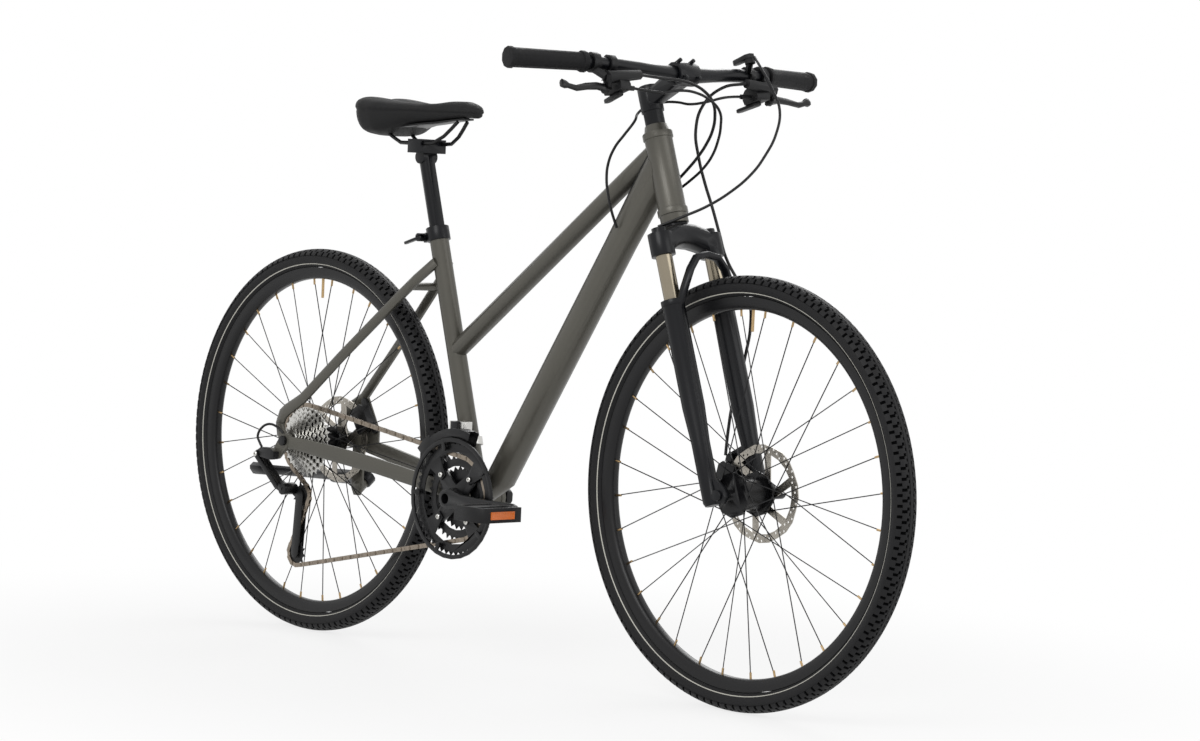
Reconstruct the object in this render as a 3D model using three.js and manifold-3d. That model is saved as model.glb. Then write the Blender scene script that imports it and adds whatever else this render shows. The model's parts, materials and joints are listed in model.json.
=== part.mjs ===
// A step-through trekking bicycle with a suspension fork, disc brakes, a triple crankset and a derailleur.
// Millimetres. +X points forward, +Y to the rider's left and +Z up, so the drive side is at -Y.
// The origin is on the ground, midway between the wheels.

import * as THREE from 'three';
import { mergeVertices } from 'three/addons/utils/BufferGeometryUtils.js';
import Module from 'manifold-3d';

const wasm = await Module();
wasm.setup();

const DEG = Math.PI / 180;
const TURN = 2 * Math.PI;

// Driving dimensions

const GAP = 0.3; // between two pieces that touch or run in each other
const OVERRUN = 6; // how far a cutting shape runs past what it cuts
const SLACK = 0.1; // how far a surface may move when its smallest faces are merged

const WHEELBASE = 1082;
const TYRE_RADIUS = 351;
const HEAD_ANGLE = 71 * DEG;
const SEAT_ANGLE = 73.4 * DEG;
const CHAINSTAY_LENGTH = 453.5;
const BRACKET_DROP = 64; // bottom bracket below the axles

const TYRE = {
  height: 34,
  halfWidth: 20.8,
  treadHalfWidth: 7,
  sides: 32,
  bulgeShare: 0.95,
};
const RIM = { halfWidth: 12.2, flange: 1.8, edgeRadius: TYRE_RADIUS - TYRE.height, wellDepth: 5, depth: 21, innerHalfWidth: 7 };
const RIM_INNER_RADIUS = RIM.edgeRadius - RIM.depth;
const SPOKE = { count: 32, radius: 1.1, sides: 3, cross: 62 * DEG, lacingOffset: 1.6, rimOffset: 2.6 };
const VALVE = { radius: 2.9, length: 34, sides: 6 };
const AXLE = { radius: 4.7, nutRadius: 9, nutLength: 6, locknutLength: 4, sides: 10 };
const FRONT_HUB = {
  halfSpacing: 50,
  flangeRadius: 37,
  holeRadius: 33,
  rightFlangeAt: 28,
  leftFlangeAt: 28,
  flangeThickness: 3.6,
  shellRadius: 27,
  endRadius: 9,
  rotorSeatRadius: 24,
  rotorAt: 39.5,
};
const REAR_HUB = {
  halfSpacing: 67.5,
  flangeRadius: 25,
  holeRadius: 22,
  rightFlangeAt: 19,
  leftFlangeAt: 34,
  flangeThickness: 3.6,
  shellRadius: 17,
  endRadius: 12,
  rotorSeatRadius: 24,
  rotorAt: 52,
};
const ROTOR = {
  radius: 80,
  bandInner: 66,
  thickness: 1.8,
  arms: 6,
  armHalfAngle: 6 * DEG,
  armLean: 22 * DEG,
  hubOuter: 26,
  edgePoints: 24,
  waveDepth: 1.8,
};
const CALIPER = {
  innerRadius: 62,
  outerRadius: 98,
  halfLength: 24,
  halfWidth: 10,
  slotClearance: 1.2,
  earRadius: 7,
  earAt: 30,
  earInner: 4,
  chamfer: 8,
  mountThickness: 3,
  frontAngle: 146 * DEG,
  rearAngle: 33 * DEG,
};
// The quick release at an axle's end. A smaller copy of it closes the seat collar.
const QUICK_RELEASE = {
  headLength: 24,
  headRadius: 10,
  pivotAt: 16.6,
  eyeRadius: 6.5,
  pinRadius: 2.5,
  half: 3,
  length: 52,
  tipRadius: 5,
  collarShare: 0.75,
};

const FORK = {
  offset: 35,
  crownRaceHeight: 462,
  stanchionAhead: 15,
  halfSpacing: 57,
  stanchionRadius: 14,
  stanchionInsertion: 130,
  crownBottom: 403,
  crownTop: 441,
  crownHalfHeight: 20,
  crownHalfDepth: 25,
  crownCentreAhead: 6,
  crownCentreHeight: 441,
  raceRadius: 20,
  bossRadius: 20.5,
  capRadius: 12,
  capHeight: 9,
  legTop: 328,
  legBottom: -12,
  legRadius: 19,
  lowerRadius: 15.5,
  taperTop: 150,
  taperBottom: 92,
  sealRadius: 20.3,
  sealHeight: 9,
  travel: 60,
  steererRadius: 14.3,
  spareBore: 6,
  footRadius: 14,
  footThickness: 12.5,
  footHeight: 26,
  archTop: 395,
  archAhead: 39,
  archRoot: 308,
  archHalfWidth: 8,
  archHalfDepth: 6,
  sides: 12,
};
const HEADSET = { lowerHeight: 16, lowerRadius: 23, upperHeight: 13, upperRadius: 21.5, topRadius: 18.5 };
const HEAD_TUBE = { length: 141, radius: 23.2, ringRadius: 25.2, ringHeight: 11, sides: 16 };
const STEM = {
  spacerRadius: 17,
  spacerHeight: 23,
  clampHeight: 40,
  clampRadius: 19.5,
  capRadius: 16.5,
  capHeight: 4,
  reach: 82,
  rise: 17,
  armHalfHeight: 14.5,
  armHalfWidth: 15.5,
  barClampRadius: 19.5,
  barClampHalf: 23,
  split: 1.6,
  boltRadius: 3.6,
  boltSpread: 16,
  boltSide: 15,
};
const BAR = {
  halfWidth: 347,
  sweepBack: 37,
  rise: 20,
  centreRadius: 12.7,
  radius: 11.1,
  bulgeShare: 0.1,
  taperShare: 0.2,
  sides: 10,
  endShare: 0.002,
  // Share of the half width, of the sweep and of the rise.
  pathShares: [
    [0.12, 0, 0],
    [0.29, 0.04, 0.24],
    [0.59, 0.27, 0.59],
    [1, 1, 1],
  ],
  stationShares: [0.07, 0.14, 0.2, 0.3, 0.36, 0.4, 0.45],
};
const GRIP = { length: 138, radius: 15.8, waistRadius: 14.8, endRadius: 17.4, endLength: 9, capThickness: 3, sides: 10 };

const TOP_TUBE = { radius: 16.5, wall: 1.8, belowHeadTop: 25, seatTubeHeight: 261, sides: 14 };
const DOWN_TUBE = {
  radius: 26,
  wall: 2.2,
  belowHeadTop: 50,
  aheadOfBracket: 30,
  rootAhead: 9,
  rootHalfHeight: 17,
  rootHalfWidth: 17,
  rootLength: 46,
  headHalfHeight: 33,
  headHalfWidth: 22.5,
  headTaper: 170,
  sides: 16,
};
const SEAT_TUBE = { radius: 17, length: 485, collarRadius: 20.6, collarHeight: 24, slotWidth: 3, sides: 14 };
const COLLAR = { earBehind: 31, earHalf: 9, earInset: 4, boltBehind: 25 };
const BRACKET = { shellRadius: 21, shellHalf: 34, cupRadius: 22.5, cupLength: 9, spindleRadius: 12, spindleWall: 2.8, sides: 16 };
const CHAINSTAY = {
  rootHalfGap: 26,
  rootShare: 0.04,
  halfHeight: 14.5,
  halfWidth: 7.4,
  endHalfHeight: 11.5,
  endHalfWidth: 5.4,
  bow: 4.4,
  sides: 8,
  // Share of the way to the axle, and share of the side distance there.
  pathShares: [
    [0.29, 0.49],
    [0.487, 0.62],
    [0.703, 0.82],
    [0.9, 0.97],
  ],
};
// The stays' bend behind the axle: distances behind and above the axle. The stays part at the second point.
const BEND = { points: [[16, 16], [19, 31], [12, 47], [-6, 60]], split: 1 };
const SEATSTAY = {
  belowTubeTop: 63,
  topHalfGap: 15,
  footAhead: 33,
  footAbove: 73,
  halfHeight: 9.4,
  halfWidth: 7,
  bridgeShare: 0.83,
  bridgeRadius: 7,
  sides: 8,
  pathShares: [
    [0.3, 0.83],
    [0.6, 0.62],
    [0.75, 0.5],
    [0.88, 0.385],
  ],
};
const DROPOUT = { bossRadius: 14, thickness: 11 };
const BOTTLE_BOSS = { radius: 5.5, height: 3, sides: 8, spacing: 64, fromHead: 196 };

const SEATPOST = {
  radius: 13.6,
  exposed: 128,
  insertion: 130,
  headRadius: 12,
  headHalf: 16,
  clampHalfLength: 17,
  clampHalfWidth: 30,
  clampBottom: 7,
  sides: 14,
};
const SADDLE = {
  ahead: 136,
  length: 272,
  halfWidth: 77,
  topAbove: 96,
  crown: 6,
  skirt: 59,
  baseThickness: 3,
  baseShare: 0.55,
  railHalfGap: 22,
  railRadius: 3.6,
  railAbove: 24,
  sides: 16,
  upperShare: 0.42,
  // Share of the length from the nose, of the half width, of the crown's height, and of the skirt.
  sectionShares: [
    [0, 0.14, -1.6, 0.3],
    [0.02, 0.22, -0.6, 0.4],
    [0.1, 0.27, 0.5, 0.5],
    [0.22, 0.3, 0.6, 0.56],
    [0.36, 0.38, 0.1, 0.58],
    [0.5, 0.52, 0, 0.62],
    [0.64, 0.76, 0.5, 0.76],
    [0.78, 0.96, 1.3, 0.94],
    [0.89, 0.98, 1.9, 1],
    [0.96, 0.86, 1.8, 0.86],
    [1, 0.6, 0.6, 0.5],
  ],
  // Share of the length from the nose, of the rail gap, and of the skirt above the rail's straight part.
  railShares: [
    [0.16, 0.5, 0.66],
    [0.27, 0.8, 0.2],
    [0.36, 1, 0],
    [0.43, 1, 0],
    [0.57, 1, 0],
    [0.66, 1, 0],
    [0.8, 1.3, 0.36],
  ],
};

const CRANK = {
  length: 175,
  angle: 2 * DEG,
  bossRadius: 18.5,
  waistHalf: 11.5,
  endRadius: 14.5,
  rightBossInner: 66,
  leftBossInner: 51,
  bossThickness: 14,
  endInner: 77,
  endOuter: 90,
  pedalAxleRadius: 5,
  sides: 8,
  // Share of the length from the axis, of the boss or end radius, and of the way outwards.
  bossShares: [
    [-0.09, 0.55, 0],
    [-0.05, 0.85, 0],
    [0.02, 1, 0],
  ],
  endShares: [
    [0.88, 0.95, 0.95],
    [1, 1, 1],
    [1.05, 0.85, 1],
    [1.078, 0.5, 1],
  ],
};
const PEDAL = { halfLength: 41, halfWidth: 43, halfHeight: 12.5, fromCrank: 9, rail: 11, endBar: 9, barrelRadius: 11, chamfer: 9 };
const CHAIN = { pitch: 12.7, halfHeight: 3.5, rollerHalf: 2, innerHalf: 1.2, plate: 0.9, straight: 42 };
const TOOTH = { halfThickness: 0.85, rootDepth: 4, height: 3.1, rootHalf: 2.5 };
const RINGS = {
  largeTeeth: 48,
  middleTeeth: 36,
  smallTeeth: 26,
  largeAt: 57.4,
  middleAt: 50,
  smallAt: 42.6,
  rimDepth: 13,
  tabRadius: 46,
  tabHalfAngle: 9 * DEG,
  smallInner: 27,
  boltCircle: 52,
  boltRadius: 5,
  smallBoltCircle: 34,
  boltCount: 4,
  spiderHalf: 11,
  guardOuter: 105.5,
  guardInner: 98,
  guardAt: 64.5,
  guardHalf: 1.5,
  guardTabs: 5,
  guardTabRadius: 88,
  guardPinRadius: 2.6,
};
const CASSETTE = { teeth: [32, 28, 24, 21, 18, 16, 14, 12, 11], firstAt: 26, spacing: 4.34, bodyRadius: 16, twist: 0.2 };
const DERAILLEUR = {
  pulleyTeeth: 11,
  pulleyBossRadius: 7,
  boltRadius: 2.6,
  cageHalfGap: 4.6,
  cagePlate: 1.6,
  lobeRadius: 10,
  hangerBehind: 23,
  hangerBelow: 26,
  hangerThickness: 6.5,
  knuckleRadius: 11,
  knuckleThickness: 12,
  upperBehind: 63,
  upperBelow: 29,
  upperOut: 85,
  linkTilt: 20 * DEG,
  linkDrop: 57,
  linkIn: 33,
  linkHalf: 5,
  linkRadius: 9,
  linkPin: 4,
  pivotBehind: 25,
  pivotBelow: 91,
  pivotRadius: 11,
  pivotLength: 27,
  guideAhead: 18,
  guideBelow: 11,
  cageLength: 108.3,
  cageAngle: 94.2 * DEG,
};
const FRONT_SHIFTER = {
  clampHeight: 98,
  clampOuter: 21.5,
  clampHalf: 7,
  bodyFrom: 14,
  bodyTo: 35,
  bodyHalf: 18,
  bodyBottom: 96,
  bodyTop: 131,
  slotDepth: 23,
  pinAt: 31,
  pinAbove: 126,
  pinRadius: 2.5,
  lugHalf: 8,
  lugBottom: 111,
  cageInner: 40,
  cageOuter: 62,
  cagePlate: 1.4,
  plateInner: 107.5,
  deepInner: 91,
  plateOuter: 121,
  tailOuter: 126,
  startAngle: 72 * DEG,
  endAngle: 141 * DEG,
  tailAngle: 124 * DEG,
  bridgeAngle: 5 * DEG,
  bridgeDepth: 3.5,
};
const KICKSTAND = {
  ahead: 41,
  below: 70,
  out: 86,
  tilt: 40 * DEG,
  bracketAt: 65.5,
  bracketHalf: 2.5,
  bracketRadius: 15,
  bossRadius: 12,
  boltRadius: 5,
  housingHalf: 9,
  housingRadius: 15,
  housingLength: 104,
  length: 345,
  drop: 14,
  rootHalfHeight: 15,
  tipHalfHeight: 10,
  tipHalfWidth: 6,
  footLength: 42,
  footRadius: 12,
};
// Along the bar, the controls are placed by their distance from the grip.
const BRAKE_LEVER = {
  clampAt: 16,
  clampRadius: 16.5,
  clampHalf: 7,
  pivotAhead: 14.5,
  pivotBelow: 48,
  pivotAt: 19,
  pivotRadius: 3.5,
  halfThickness: 5,
  bladeLength: 96,
  bladeWave: 4,
  tipRadius: 7.5,
  bodyAhead: 24,
  bodyBelow: 33,
  bodyRadius: 11,
  bodyEndRadius: 8,
  bodyEndAt: 85,
};
const SHIFTER = {
  clampAt: 49,
  clampRadius: 15.5,
  clampHalf: 6,
  podRadius: 22,
  podHalf: 13,
  podAhead: 8,
  podBelow: 41,
  leverLength: 34,
  leverRadius: 6,
  leverHalf: 2.5,
  pinRadius: 3,
  barrelRadius: 4.5,
  barrelLength: 22,
};
const LOCKOUT = { clampAt: 59, ahead: 20, above: 22, postRadius: 9, half: 4, leverLength: 30, leverRadius: 6 };

// A cable's bends are each a share of the way, then a distance forward, to the left and up from the straight line.
const CABLE = {
  hoseRadius: 2.6,
  shiftRadius: 2.3,
  sides: 8,
  behindHead: 84,
  portSpacing: 12,
  rearPortFurther: 48,
  loopEndShare: 1.6,
  frontHose: [
    [0.02, 3, -7, 13],
    [0.07, -22, -30, 39],
    [0.14, -49, -40, 55],
    [0.19, -56, -41, 49],
    [0.28, -54, -26, 45],
    [0.4, -40, -4, 37],
    [0.51, -22, 10, 21],
    [0.63, 19, 25, 14],
    [0.77, 10, 27, 12],
    [0.89, -4, 15, 9],
  ],
  rearHose: [
    [0.04, 7, 8, 6],
    [0.09, 13, 23, 13],
    [0.27, 57, 61, 31],
    [0.42, 75, 88, 31],
    [0.55, 66, 94, 19],
    [0.7, 44, 76, 10],
  ],
  rightShift: [
    [0.03, 5, 9, 5],
    [0.11, 23, 27, 10],
    [0.27, 69, 63, 33],
    [0.41, 97, 91, 26],
    [0.54, 86, 96, 11],
    [0.69, 65, 78, -2],
  ],
  leftShift: [
    [0.02, 4, -7, 3],
    [0.13, 30, -34, 15],
    [0.23, 12, -44, 33],
    [0.36, -14, -33, 76],
    [0.46, -31, -42, 92],
    [0.57, -2, -62, 81],
    [0.71, -21, -57, 68],
    [0.8, -22, -47, 49],
    [0.91, -11, -25, 20],
  ],
  lockout: [
    [0.06, 24, -2, -2],
    [0.32, 86, 36, -36],
    [0.45, 85, 38, -50],
    [0.6, 84, 24, -56],
    [0.77, 58, 9, -44],
  ],
  rearLoop: [
    [0.16, -4, -2, 14],
    [0.34, -10, -4, 24],
    [0.58, -16, -5, 26],
    [0.82, -20, -3, 14],
  ],
};

// Points that everything else is set out from

const point = (x, y, z) => new THREE.Vector3(x, y, z);
const ORIGIN = point(0, 0, 0);
const AXIS_X = point(1, 0, 0);
const AXIS_Y = point(0, 1, 0);
const AXIS_Z = point(0, 0, 1);
const rearAxle = point(-WHEELBASE / 2, 0, TYRE_RADIUS);
const frontAxle = point(WHEELBASE / 2, 0, TYRE_RADIUS);
const bracketAhead = Math.sqrt(CHAINSTAY_LENGTH ** 2 - BRACKET_DROP ** 2);
const bracket = point(rearAxle.x + bracketAhead, 0, TYRE_RADIUS - BRACKET_DROP);
const steerUp = point(-Math.cos(HEAD_ANGLE), 0, Math.sin(HEAD_ANGLE));
const steerAhead = point(Math.sin(HEAD_ANGLE), 0, Math.cos(HEAD_ANGLE));
const steerFoot = frontAxle.clone().addScaledVector(steerAhead, -FORK.offset);
const seatUp = point(-Math.cos(SEAT_ANGLE), 0, Math.sin(SEAT_ANGLE));
const seatAhead = point(Math.sin(SEAT_ANGLE), 0, Math.cos(SEAT_ANGLE));
const onSteerer = (height) => steerFoot.clone().addScaledVector(steerUp, height);
const onSeatTube = (height) => bracket.clone().addScaledVector(seatUp, height);
const headBottom = FORK.crownRaceHeight + HEADSET.lowerHeight;
const headTop = headBottom + HEAD_TUBE.length;
const stemBottom = headTop + HEADSET.upperHeight + GAP;
const stemTop = stemBottom + STEM.spacerHeight + STEM.clampHeight;
const seatTop = onSeatTube(SEAT_TUBE.length + SEATPOST.exposed);

// Shapes

// A closed surface with its shared corners merged, empty faces dropped and its faces turned outwards.
function closed(geometry) {
  const bare = new THREE.BufferGeometry();
  bare.setAttribute('position', geometry.getAttribute('position'));
  bare.setIndex(geometry.index);
  const merged = mergeVertices(bare);
  const corners = merged.index.array;
  const spot = (i) => new THREE.Vector3().fromBufferAttribute(merged.attributes.position, i);
  const faces = [];
  for (let i = 0; i < corners.length; i += 3) {
    const [a, b, c] = [corners[i], corners[i + 1], corners[i + 2]];
    if (a !== b && b !== c && c !== a) faces.push([a, b, c]);
  }
  const volume = faces.reduce((sum, [a, b, c]) => sum + spot(a).dot(spot(b).cross(spot(c))), 0);
  merged.setIndex(faces.flatMap(([a, b, c]) => (volume < 0 ? [a, c, b] : [a, b, c])));
  return merged;
}

function toSolid(geometry) {
  const surface = closed(geometry);
  return new wasm.Manifold(
    new wasm.Mesh({
      numProp: 3,
      vertProperties: surface.attributes.position.array,
      triVerts: new Uint32Array(surface.index.array),
    }),
  );
}

function toGeometry(solid) {
  const mesh = solid.simplify(SLACK).getMesh();
  const geometry = new THREE.BufferGeometry();
  geometry.setAttribute('position', new THREE.BufferAttribute(mesh.vertProperties, mesh.numProp));
  geometry.setIndex(new THREE.BufferAttribute(mesh.triVerts, 1));
  return geometry;
}

const unite = (geometries) => wasm.Manifold.union(geometries.flat().map(toSolid));
const join = (...geometries) => toGeometry(unite(geometries));
const cut = (geometry, ...tools) => toGeometry(toSolid(geometry).subtract(unite(tools)));
const moved = (geometry, x, y, z) => geometry.clone().translate(x, y, z);
const mirrored = (geometry) => closed(geometry.clone().scale(1, -1, 1));

// A geometry turned so that its X and Y axes lie along two given directions, then moved.
function placed(geometry, origin, alongX, alongY) {
  const basis = new THREE.Matrix4().makeBasis(alongX, alongY, alongX.clone().cross(alongY));
  return geometry.clone().applyMatrix4(basis.setPosition(origin));
}

// A solid through rings of points that all have the same count.
function loft(rings) {
  const count = rings[0].length;
  const last = (rings.length - 1) * count;
  const faces = [];
  for (let ring = 0; ring < rings.length - 1; ring++) {
    for (let i = 0; i < count; i++) {
      const a = ring * count + i;
      const b = ring * count + ((i + 1) % count);
      faces.push(a, b, b + count, a, b + count, a + count);
    }
  }
  for (let i = 1; i < count - 1; i++) {
    faces.push(0, i + 1, i);
    faces.push(last, last + i, last + i + 1);
  }
  const geometry = new THREE.BufferGeometry().setFromPoints(rings.flat());
  geometry.setIndex(faces);
  return closed(geometry);
}

// A ring of points round a centre. A power above 2 makes the ellipse boxier.
function ellipse(centre, across, upward, halfAcross, halfUpward, sides, power = 2) {
  const bulge = (value) => Math.sign(value) * Math.abs(value) ** (2 / power);
  return Array.from({ length: sides }, (_, i) => {
    const angle = (TURN * (i + 0.5)) / sides;
    return centre
      .clone()
      .addScaledVector(across, bulge(Math.cos(angle)) * halfAcross)
      .addScaledVector(upward, bulge(Math.sin(angle)) * halfUpward);
  });
}

// A solid along a curve. sizeAt(share) gives its half sizes along the reference direction and square to it.
function sweep(curve, shares, sizeAt, reference, sides, power = 2) {
  const rings = shares.map((share) => {
    const tangent = curve.getTangentAt(share);
    const across = reference.clone().addScaledVector(tangent, -reference.dot(tangent)).normalize();
    const upward = tangent.clone().cross(across);
    const [halfAcross, halfUpward] = sizeAt(share);
    return ellipse(curve.getPointAt(share), across, upward, halfAcross, halfUpward, sides, power);
  });
  return loft(rings);
}

const evenly = (steps) => Array.from({ length: steps + 1 }, (_, i) => i / steps);
const between = (a, b, share) => a + (b - a) * share;
const smooth = (points) => new THREE.CatmullRomCurve3(points, false, 'centripetal');

// A round bar or cone from one point to another.
function rod(from, to, radius, sides, endRadius = radius) {
  const along = to.clone().sub(from);
  const geometry = new THREE.CylinderGeometry(endRadius, radius, along.length(), sides);
  geometry.applyQuaternion(new THREE.Quaternion().setFromUnitVectors(AXIS_Y, along.normalize()));
  const middle = from.clone().add(to).multiplyScalar(0.5);
  return closed(geometry.translate(middle.x, middle.y, middle.z));
}

// A round bar square to the wheels, from one side distance to another.
function crossRod(x, z, from, to, radius, sides, endRadius = radius) {
  return rod(point(x, from, z), point(x, to, z), radius, sides, endRadius);
}

// A round bar that reaches equally far both ways from a centre.
function pinThrough(centre, along, half, radius, sides) {
  const reach = along.clone().multiplyScalar(half);
  return rod(centre.clone().sub(reach), centre.clone().add(reach), radius, sides);
}

// A profile of [radius, distance along] turned round the Y axis, or round the Z axis.
function turnedOnY(profile, sides) {
  const points = profile.map(([radius, along]) => new THREE.Vector2(radius, along));
  return closed(new THREE.LatheGeometry([...points, points[0]], sides));
}
const turnedOnZ = (profile, sides) => turnedOnY(profile, sides).rotateX(Math.PI / 2);

// A flat plate in the plane of the wheels, from one side distance to another.
// Its outline and its holes are lists of [forward, up].
function plate(outline, holes, from, to) {
  const path = (list) => {
    const points = list.map(([x, z]) => new THREE.Vector2(x, z));
    return THREE.ShapeUtils.isClockWise(points) ? points.reverse() : points;
  };
  const shape = new THREE.Shape(path(outline));
  shape.holes = holes.map((hole) => new THREE.Path(path(hole)));
  const geometry = new THREE.ExtrudeGeometry(shape, { depth: to - from, bevelEnabled: false });
  return closed(geometry.rotateX(Math.PI / 2).translate(0, to, 0));
}

// A plate drawn as above and laid flat, so that up becomes left.
const laidFlat = (geometry) => geometry.rotateX(-Math.PI / 2);

const polar = (radius, angle) => [radius * Math.cos(angle), radius * Math.sin(angle)];
function circle(radius, count, x = 0, z = 0) {
  return Array.from({ length: count }, (_, i) => polar(radius, (TURN * i) / count)).map(([u, v]) => [x + u, z + v]);
}

// The outline of a strap round two circles, each given as [forward, up, radius].
function strap([ax, az, ar], [bx, bz, br], steps = 3) {
  const facing = Math.atan2(bz - az, bx - ax);
  const spread = Math.acos((ar - br) / Math.hypot(bx - ax, bz - az));
  const arc = (x, z, radius, from, to) =>
    evenly(steps)
      .map((share) => polar(radius, between(from, to, share)))
      .map(([u, v]) => [x + u, z + v]);
  return [
    ...arc(bx, bz, br, facing - spread, facing + spread),
    ...arc(ax, az, ar, facing + spread, facing + TURN - spread),
  ];
}

// A box between two corners.
function block(low, high) {
  const size = high.clone().sub(low);
  const middle = low.clone().add(high).multiplyScalar(0.5);
  return closed(new THREE.BoxGeometry(size.x, size.y, size.z).translate(middle.x, middle.y, middle.z));
}

// Wheels

function tyre() {
  const half = [
    [RIM.edgeRadius - RIM.wellDepth + GAP, RIM.halfWidth - RIM.flange - GAP],
    [RIM.edgeRadius + GAP, RIM.halfWidth - RIM.flange - GAP],
    [TYRE_RADIUS * TYRE.bulgeShare, TYRE.halfWidth],
    [TYRE_RADIUS, TYRE.treadHalfWidth],
  ];
  const other = half.map(([radius, side]) => [radius, -side]).reverse();
  return turnedOnY([...half, ...other], TYRE.sides);
}

function rim() {
  const half = [
    [RIM.edgeRadius - RIM.wellDepth, RIM.halfWidth - RIM.flange],
    [RIM.edgeRadius, RIM.halfWidth - RIM.flange],
    [RIM.edgeRadius, RIM.halfWidth],
    [RIM_INNER_RADIUS, RIM.innerHalfWidth],
  ];
  const other = half.map(([radius, side]) => [radius, -side]).reverse();
  const ring = turnedOnY([...half, ...other], TYRE.sides);
  const top = RIM.edgeRadius - 2 * RIM.wellDepth;
  return join(ring, rod(point(0, 0, RIM_INNER_RADIUS - VALVE.length), point(0, 0, top), VALVE.radius, VALVE.sides));
}

// The spokes lean both ways from two flanges. Neighbours on one flange sit on its two faces.
function spokes(sizes) {
  const outer = RIM_INNER_RADIUS * Math.cos(Math.PI / TYRE.sides) - 2 * GAP;
  return Array.from({ length: SPOKE.count }, (_, i) => {
    const side = i % 2 ? -1 : 1;
    const lean = i % 4 < 2 ? -1 : 1;
    const rimAngle = (TURN * (i + 0.5)) / SPOKE.count;
    const flange = side > 0 ? sizes.leftFlangeAt : -sizes.rightFlangeAt;
    const [hubX, hubZ] = polar(sizes.holeRadius, rimAngle + lean * SPOKE.cross);
    const [rimX, rimZ] = polar(outer, rimAngle);
    const foot = point(hubX, flange + lean * SPOKE.lacingOffset, hubZ);
    return rod(foot, point(rimX, side * SPOKE.rimOffset, rimZ), SPOKE.radius, SPOKE.sides);
  });
}

function hub(sizes, rightEnd) {
  const half = sizes.flangeThickness / 2;
  const bore = AXLE.radius + GAP;
  const rotorSeat = sizes.rotorAt - ROTOR.thickness / 2 - GAP;
  const leftEnd = sizes.halfSpacing - AXLE.locknutLength - 2 * GAP;
  const profile = [
    [bore, -rightEnd],
    [sizes.endRadius, -rightEnd],
    [sizes.endRadius, -sizes.rightFlangeAt - half],
    [sizes.flangeRadius, -sizes.rightFlangeAt - half],
    [sizes.flangeRadius, -sizes.rightFlangeAt + half],
    [sizes.shellRadius, -sizes.rightFlangeAt + half],
    [sizes.shellRadius, sizes.leftFlangeAt - half],
    [sizes.flangeRadius, sizes.leftFlangeAt - half],
    [sizes.flangeRadius, sizes.leftFlangeAt + half],
    [sizes.rotorSeatRadius, sizes.leftFlangeAt + half],
    [sizes.rotorSeatRadius, rotorSeat],
    [sizes.endRadius, rotorSeat],
    [sizes.endRadius, leftEnd],
    [bore, leftEnd],
  ];
  return join(turnedOnY(profile, AXLE.sides), spokes(sizes));
}

const cassetteInner = CASSETTE.firstAt - TOOTH.halfThickness;
const frontHub = () => hub(FRONT_HUB, FRONT_HUB.halfSpacing - AXLE.locknutLength - 2 * GAP);
const rearHub = () => hub(REAR_HUB, cassetteInner - GAP);

// A disc with a wavy edge and windows between leaning arms.
function rotor(sizes) {
  const edge = Array.from({ length: ROTOR.edgePoints }, (_, i) =>
    polar(ROTOR.radius - (i % 3 === 2 ? ROTOR.waveDepth : 0), (TURN * i) / ROTOR.edgePoints),
  );
  const windows = Array.from({ length: ROTOR.arms }, (_, i) => {
    const start = (TURN * i) / ROTOR.arms + ROTOR.armHalfAngle;
    const end = (TURN * (i + 1)) / ROTOR.arms - ROTOR.armHalfAngle;
    const outer = evenly(3).map((share) => polar(ROTOR.bandInner, between(start, end, share) + ROTOR.armLean));
    const inner = [0.8, 0.2].map((share) => polar(ROTOR.hubOuter, between(start, end, share)));
    return [...outer, ...inner];
  });
  const from = sizes.rotorAt - ROTOR.thickness / 2;
  const bore = circle(sizes.endRadius / Math.cos(Math.PI / AXLE.sides) + GAP, AXLE.sides);
  return plate(edge, [bore, ...windows], from, from + ROTOR.thickness);
}

// A brake caliper straddling a rotor. It is drawn with the rotor's radius along X, then turned round the axle.
const earRadiusAt = CALIPER.outerRadius - CALIPER.earRadius;
function caliper(sizes, angle) {
  const { innerRadius, outerRadius, halfLength, halfWidth, chamfer, earAt, earRadius } = CALIPER;
  const outline = [
    [innerRadius, -halfLength],
    [outerRadius - chamfer, -halfLength],
    [outerRadius, chamfer - halfLength],
    [outerRadius, halfLength - chamfer],
    [outerRadius - chamfer, halfLength],
    [innerRadius, halfLength],
  ];
  const slotHalf = ROTOR.thickness / 2 + CALIPER.slotClearance;
  const slot = block(
    point(innerRadius - OVERRUN, -slotHalf, -halfLength - OVERRUN),
    point(ROTOR.radius + CALIPER.slotClearance, slotHalf, halfLength + OVERRUN),
  );
  const ears = strap([earRadiusAt, -earAt, earRadius], [earRadiusAt, earAt, earRadius]);
  const body = join(plate(outline, [], -halfWidth, halfWidth), plate(ears, [], CALIPER.earInner, halfWidth));
  return cut(body, slot).rotateY(-angle).translate(0, sizes.rotorAt, 0);
}

// The centres of a caliper's two ears, as [forward, up] from the axle.
function earsOf(angle) {
  const [cos, sin] = polar(1, angle);
  return [-CALIPER.earAt, CALIPER.earAt].map((along) => [
    earRadiusAt * cos - along * sin,
    earRadiusAt * sin + along * cos,
  ]);
}

// The lever's head on the end of an axle, reaching to the left, with its pin. The share sets its size.
function releaseHead(inner, share) {
  const { headLength, headRadius, pivotAt, eyeRadius, pinRadius, half } = QUICK_RELEASE;
  const end = inner + headLength * share;
  const pivot = point(0, inner + pivotAt * share, 0);
  const side = headRadius * share;
  const slot = block(
    point(-side - OVERRUN, pivot.y - eyeRadius * share - GAP, -half * share - GAP),
    point(side + OVERRUN, end + OVERRUN, half * share + GAP),
  );
  const head = cut(crossRod(0, 0, inner, end, side, AXLE.sides), slot);
  return join(head, pinThrough(pivot, AXIS_Z, side - 2 * GAP, pinRadius * share, AXLE.sides));
}

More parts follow.
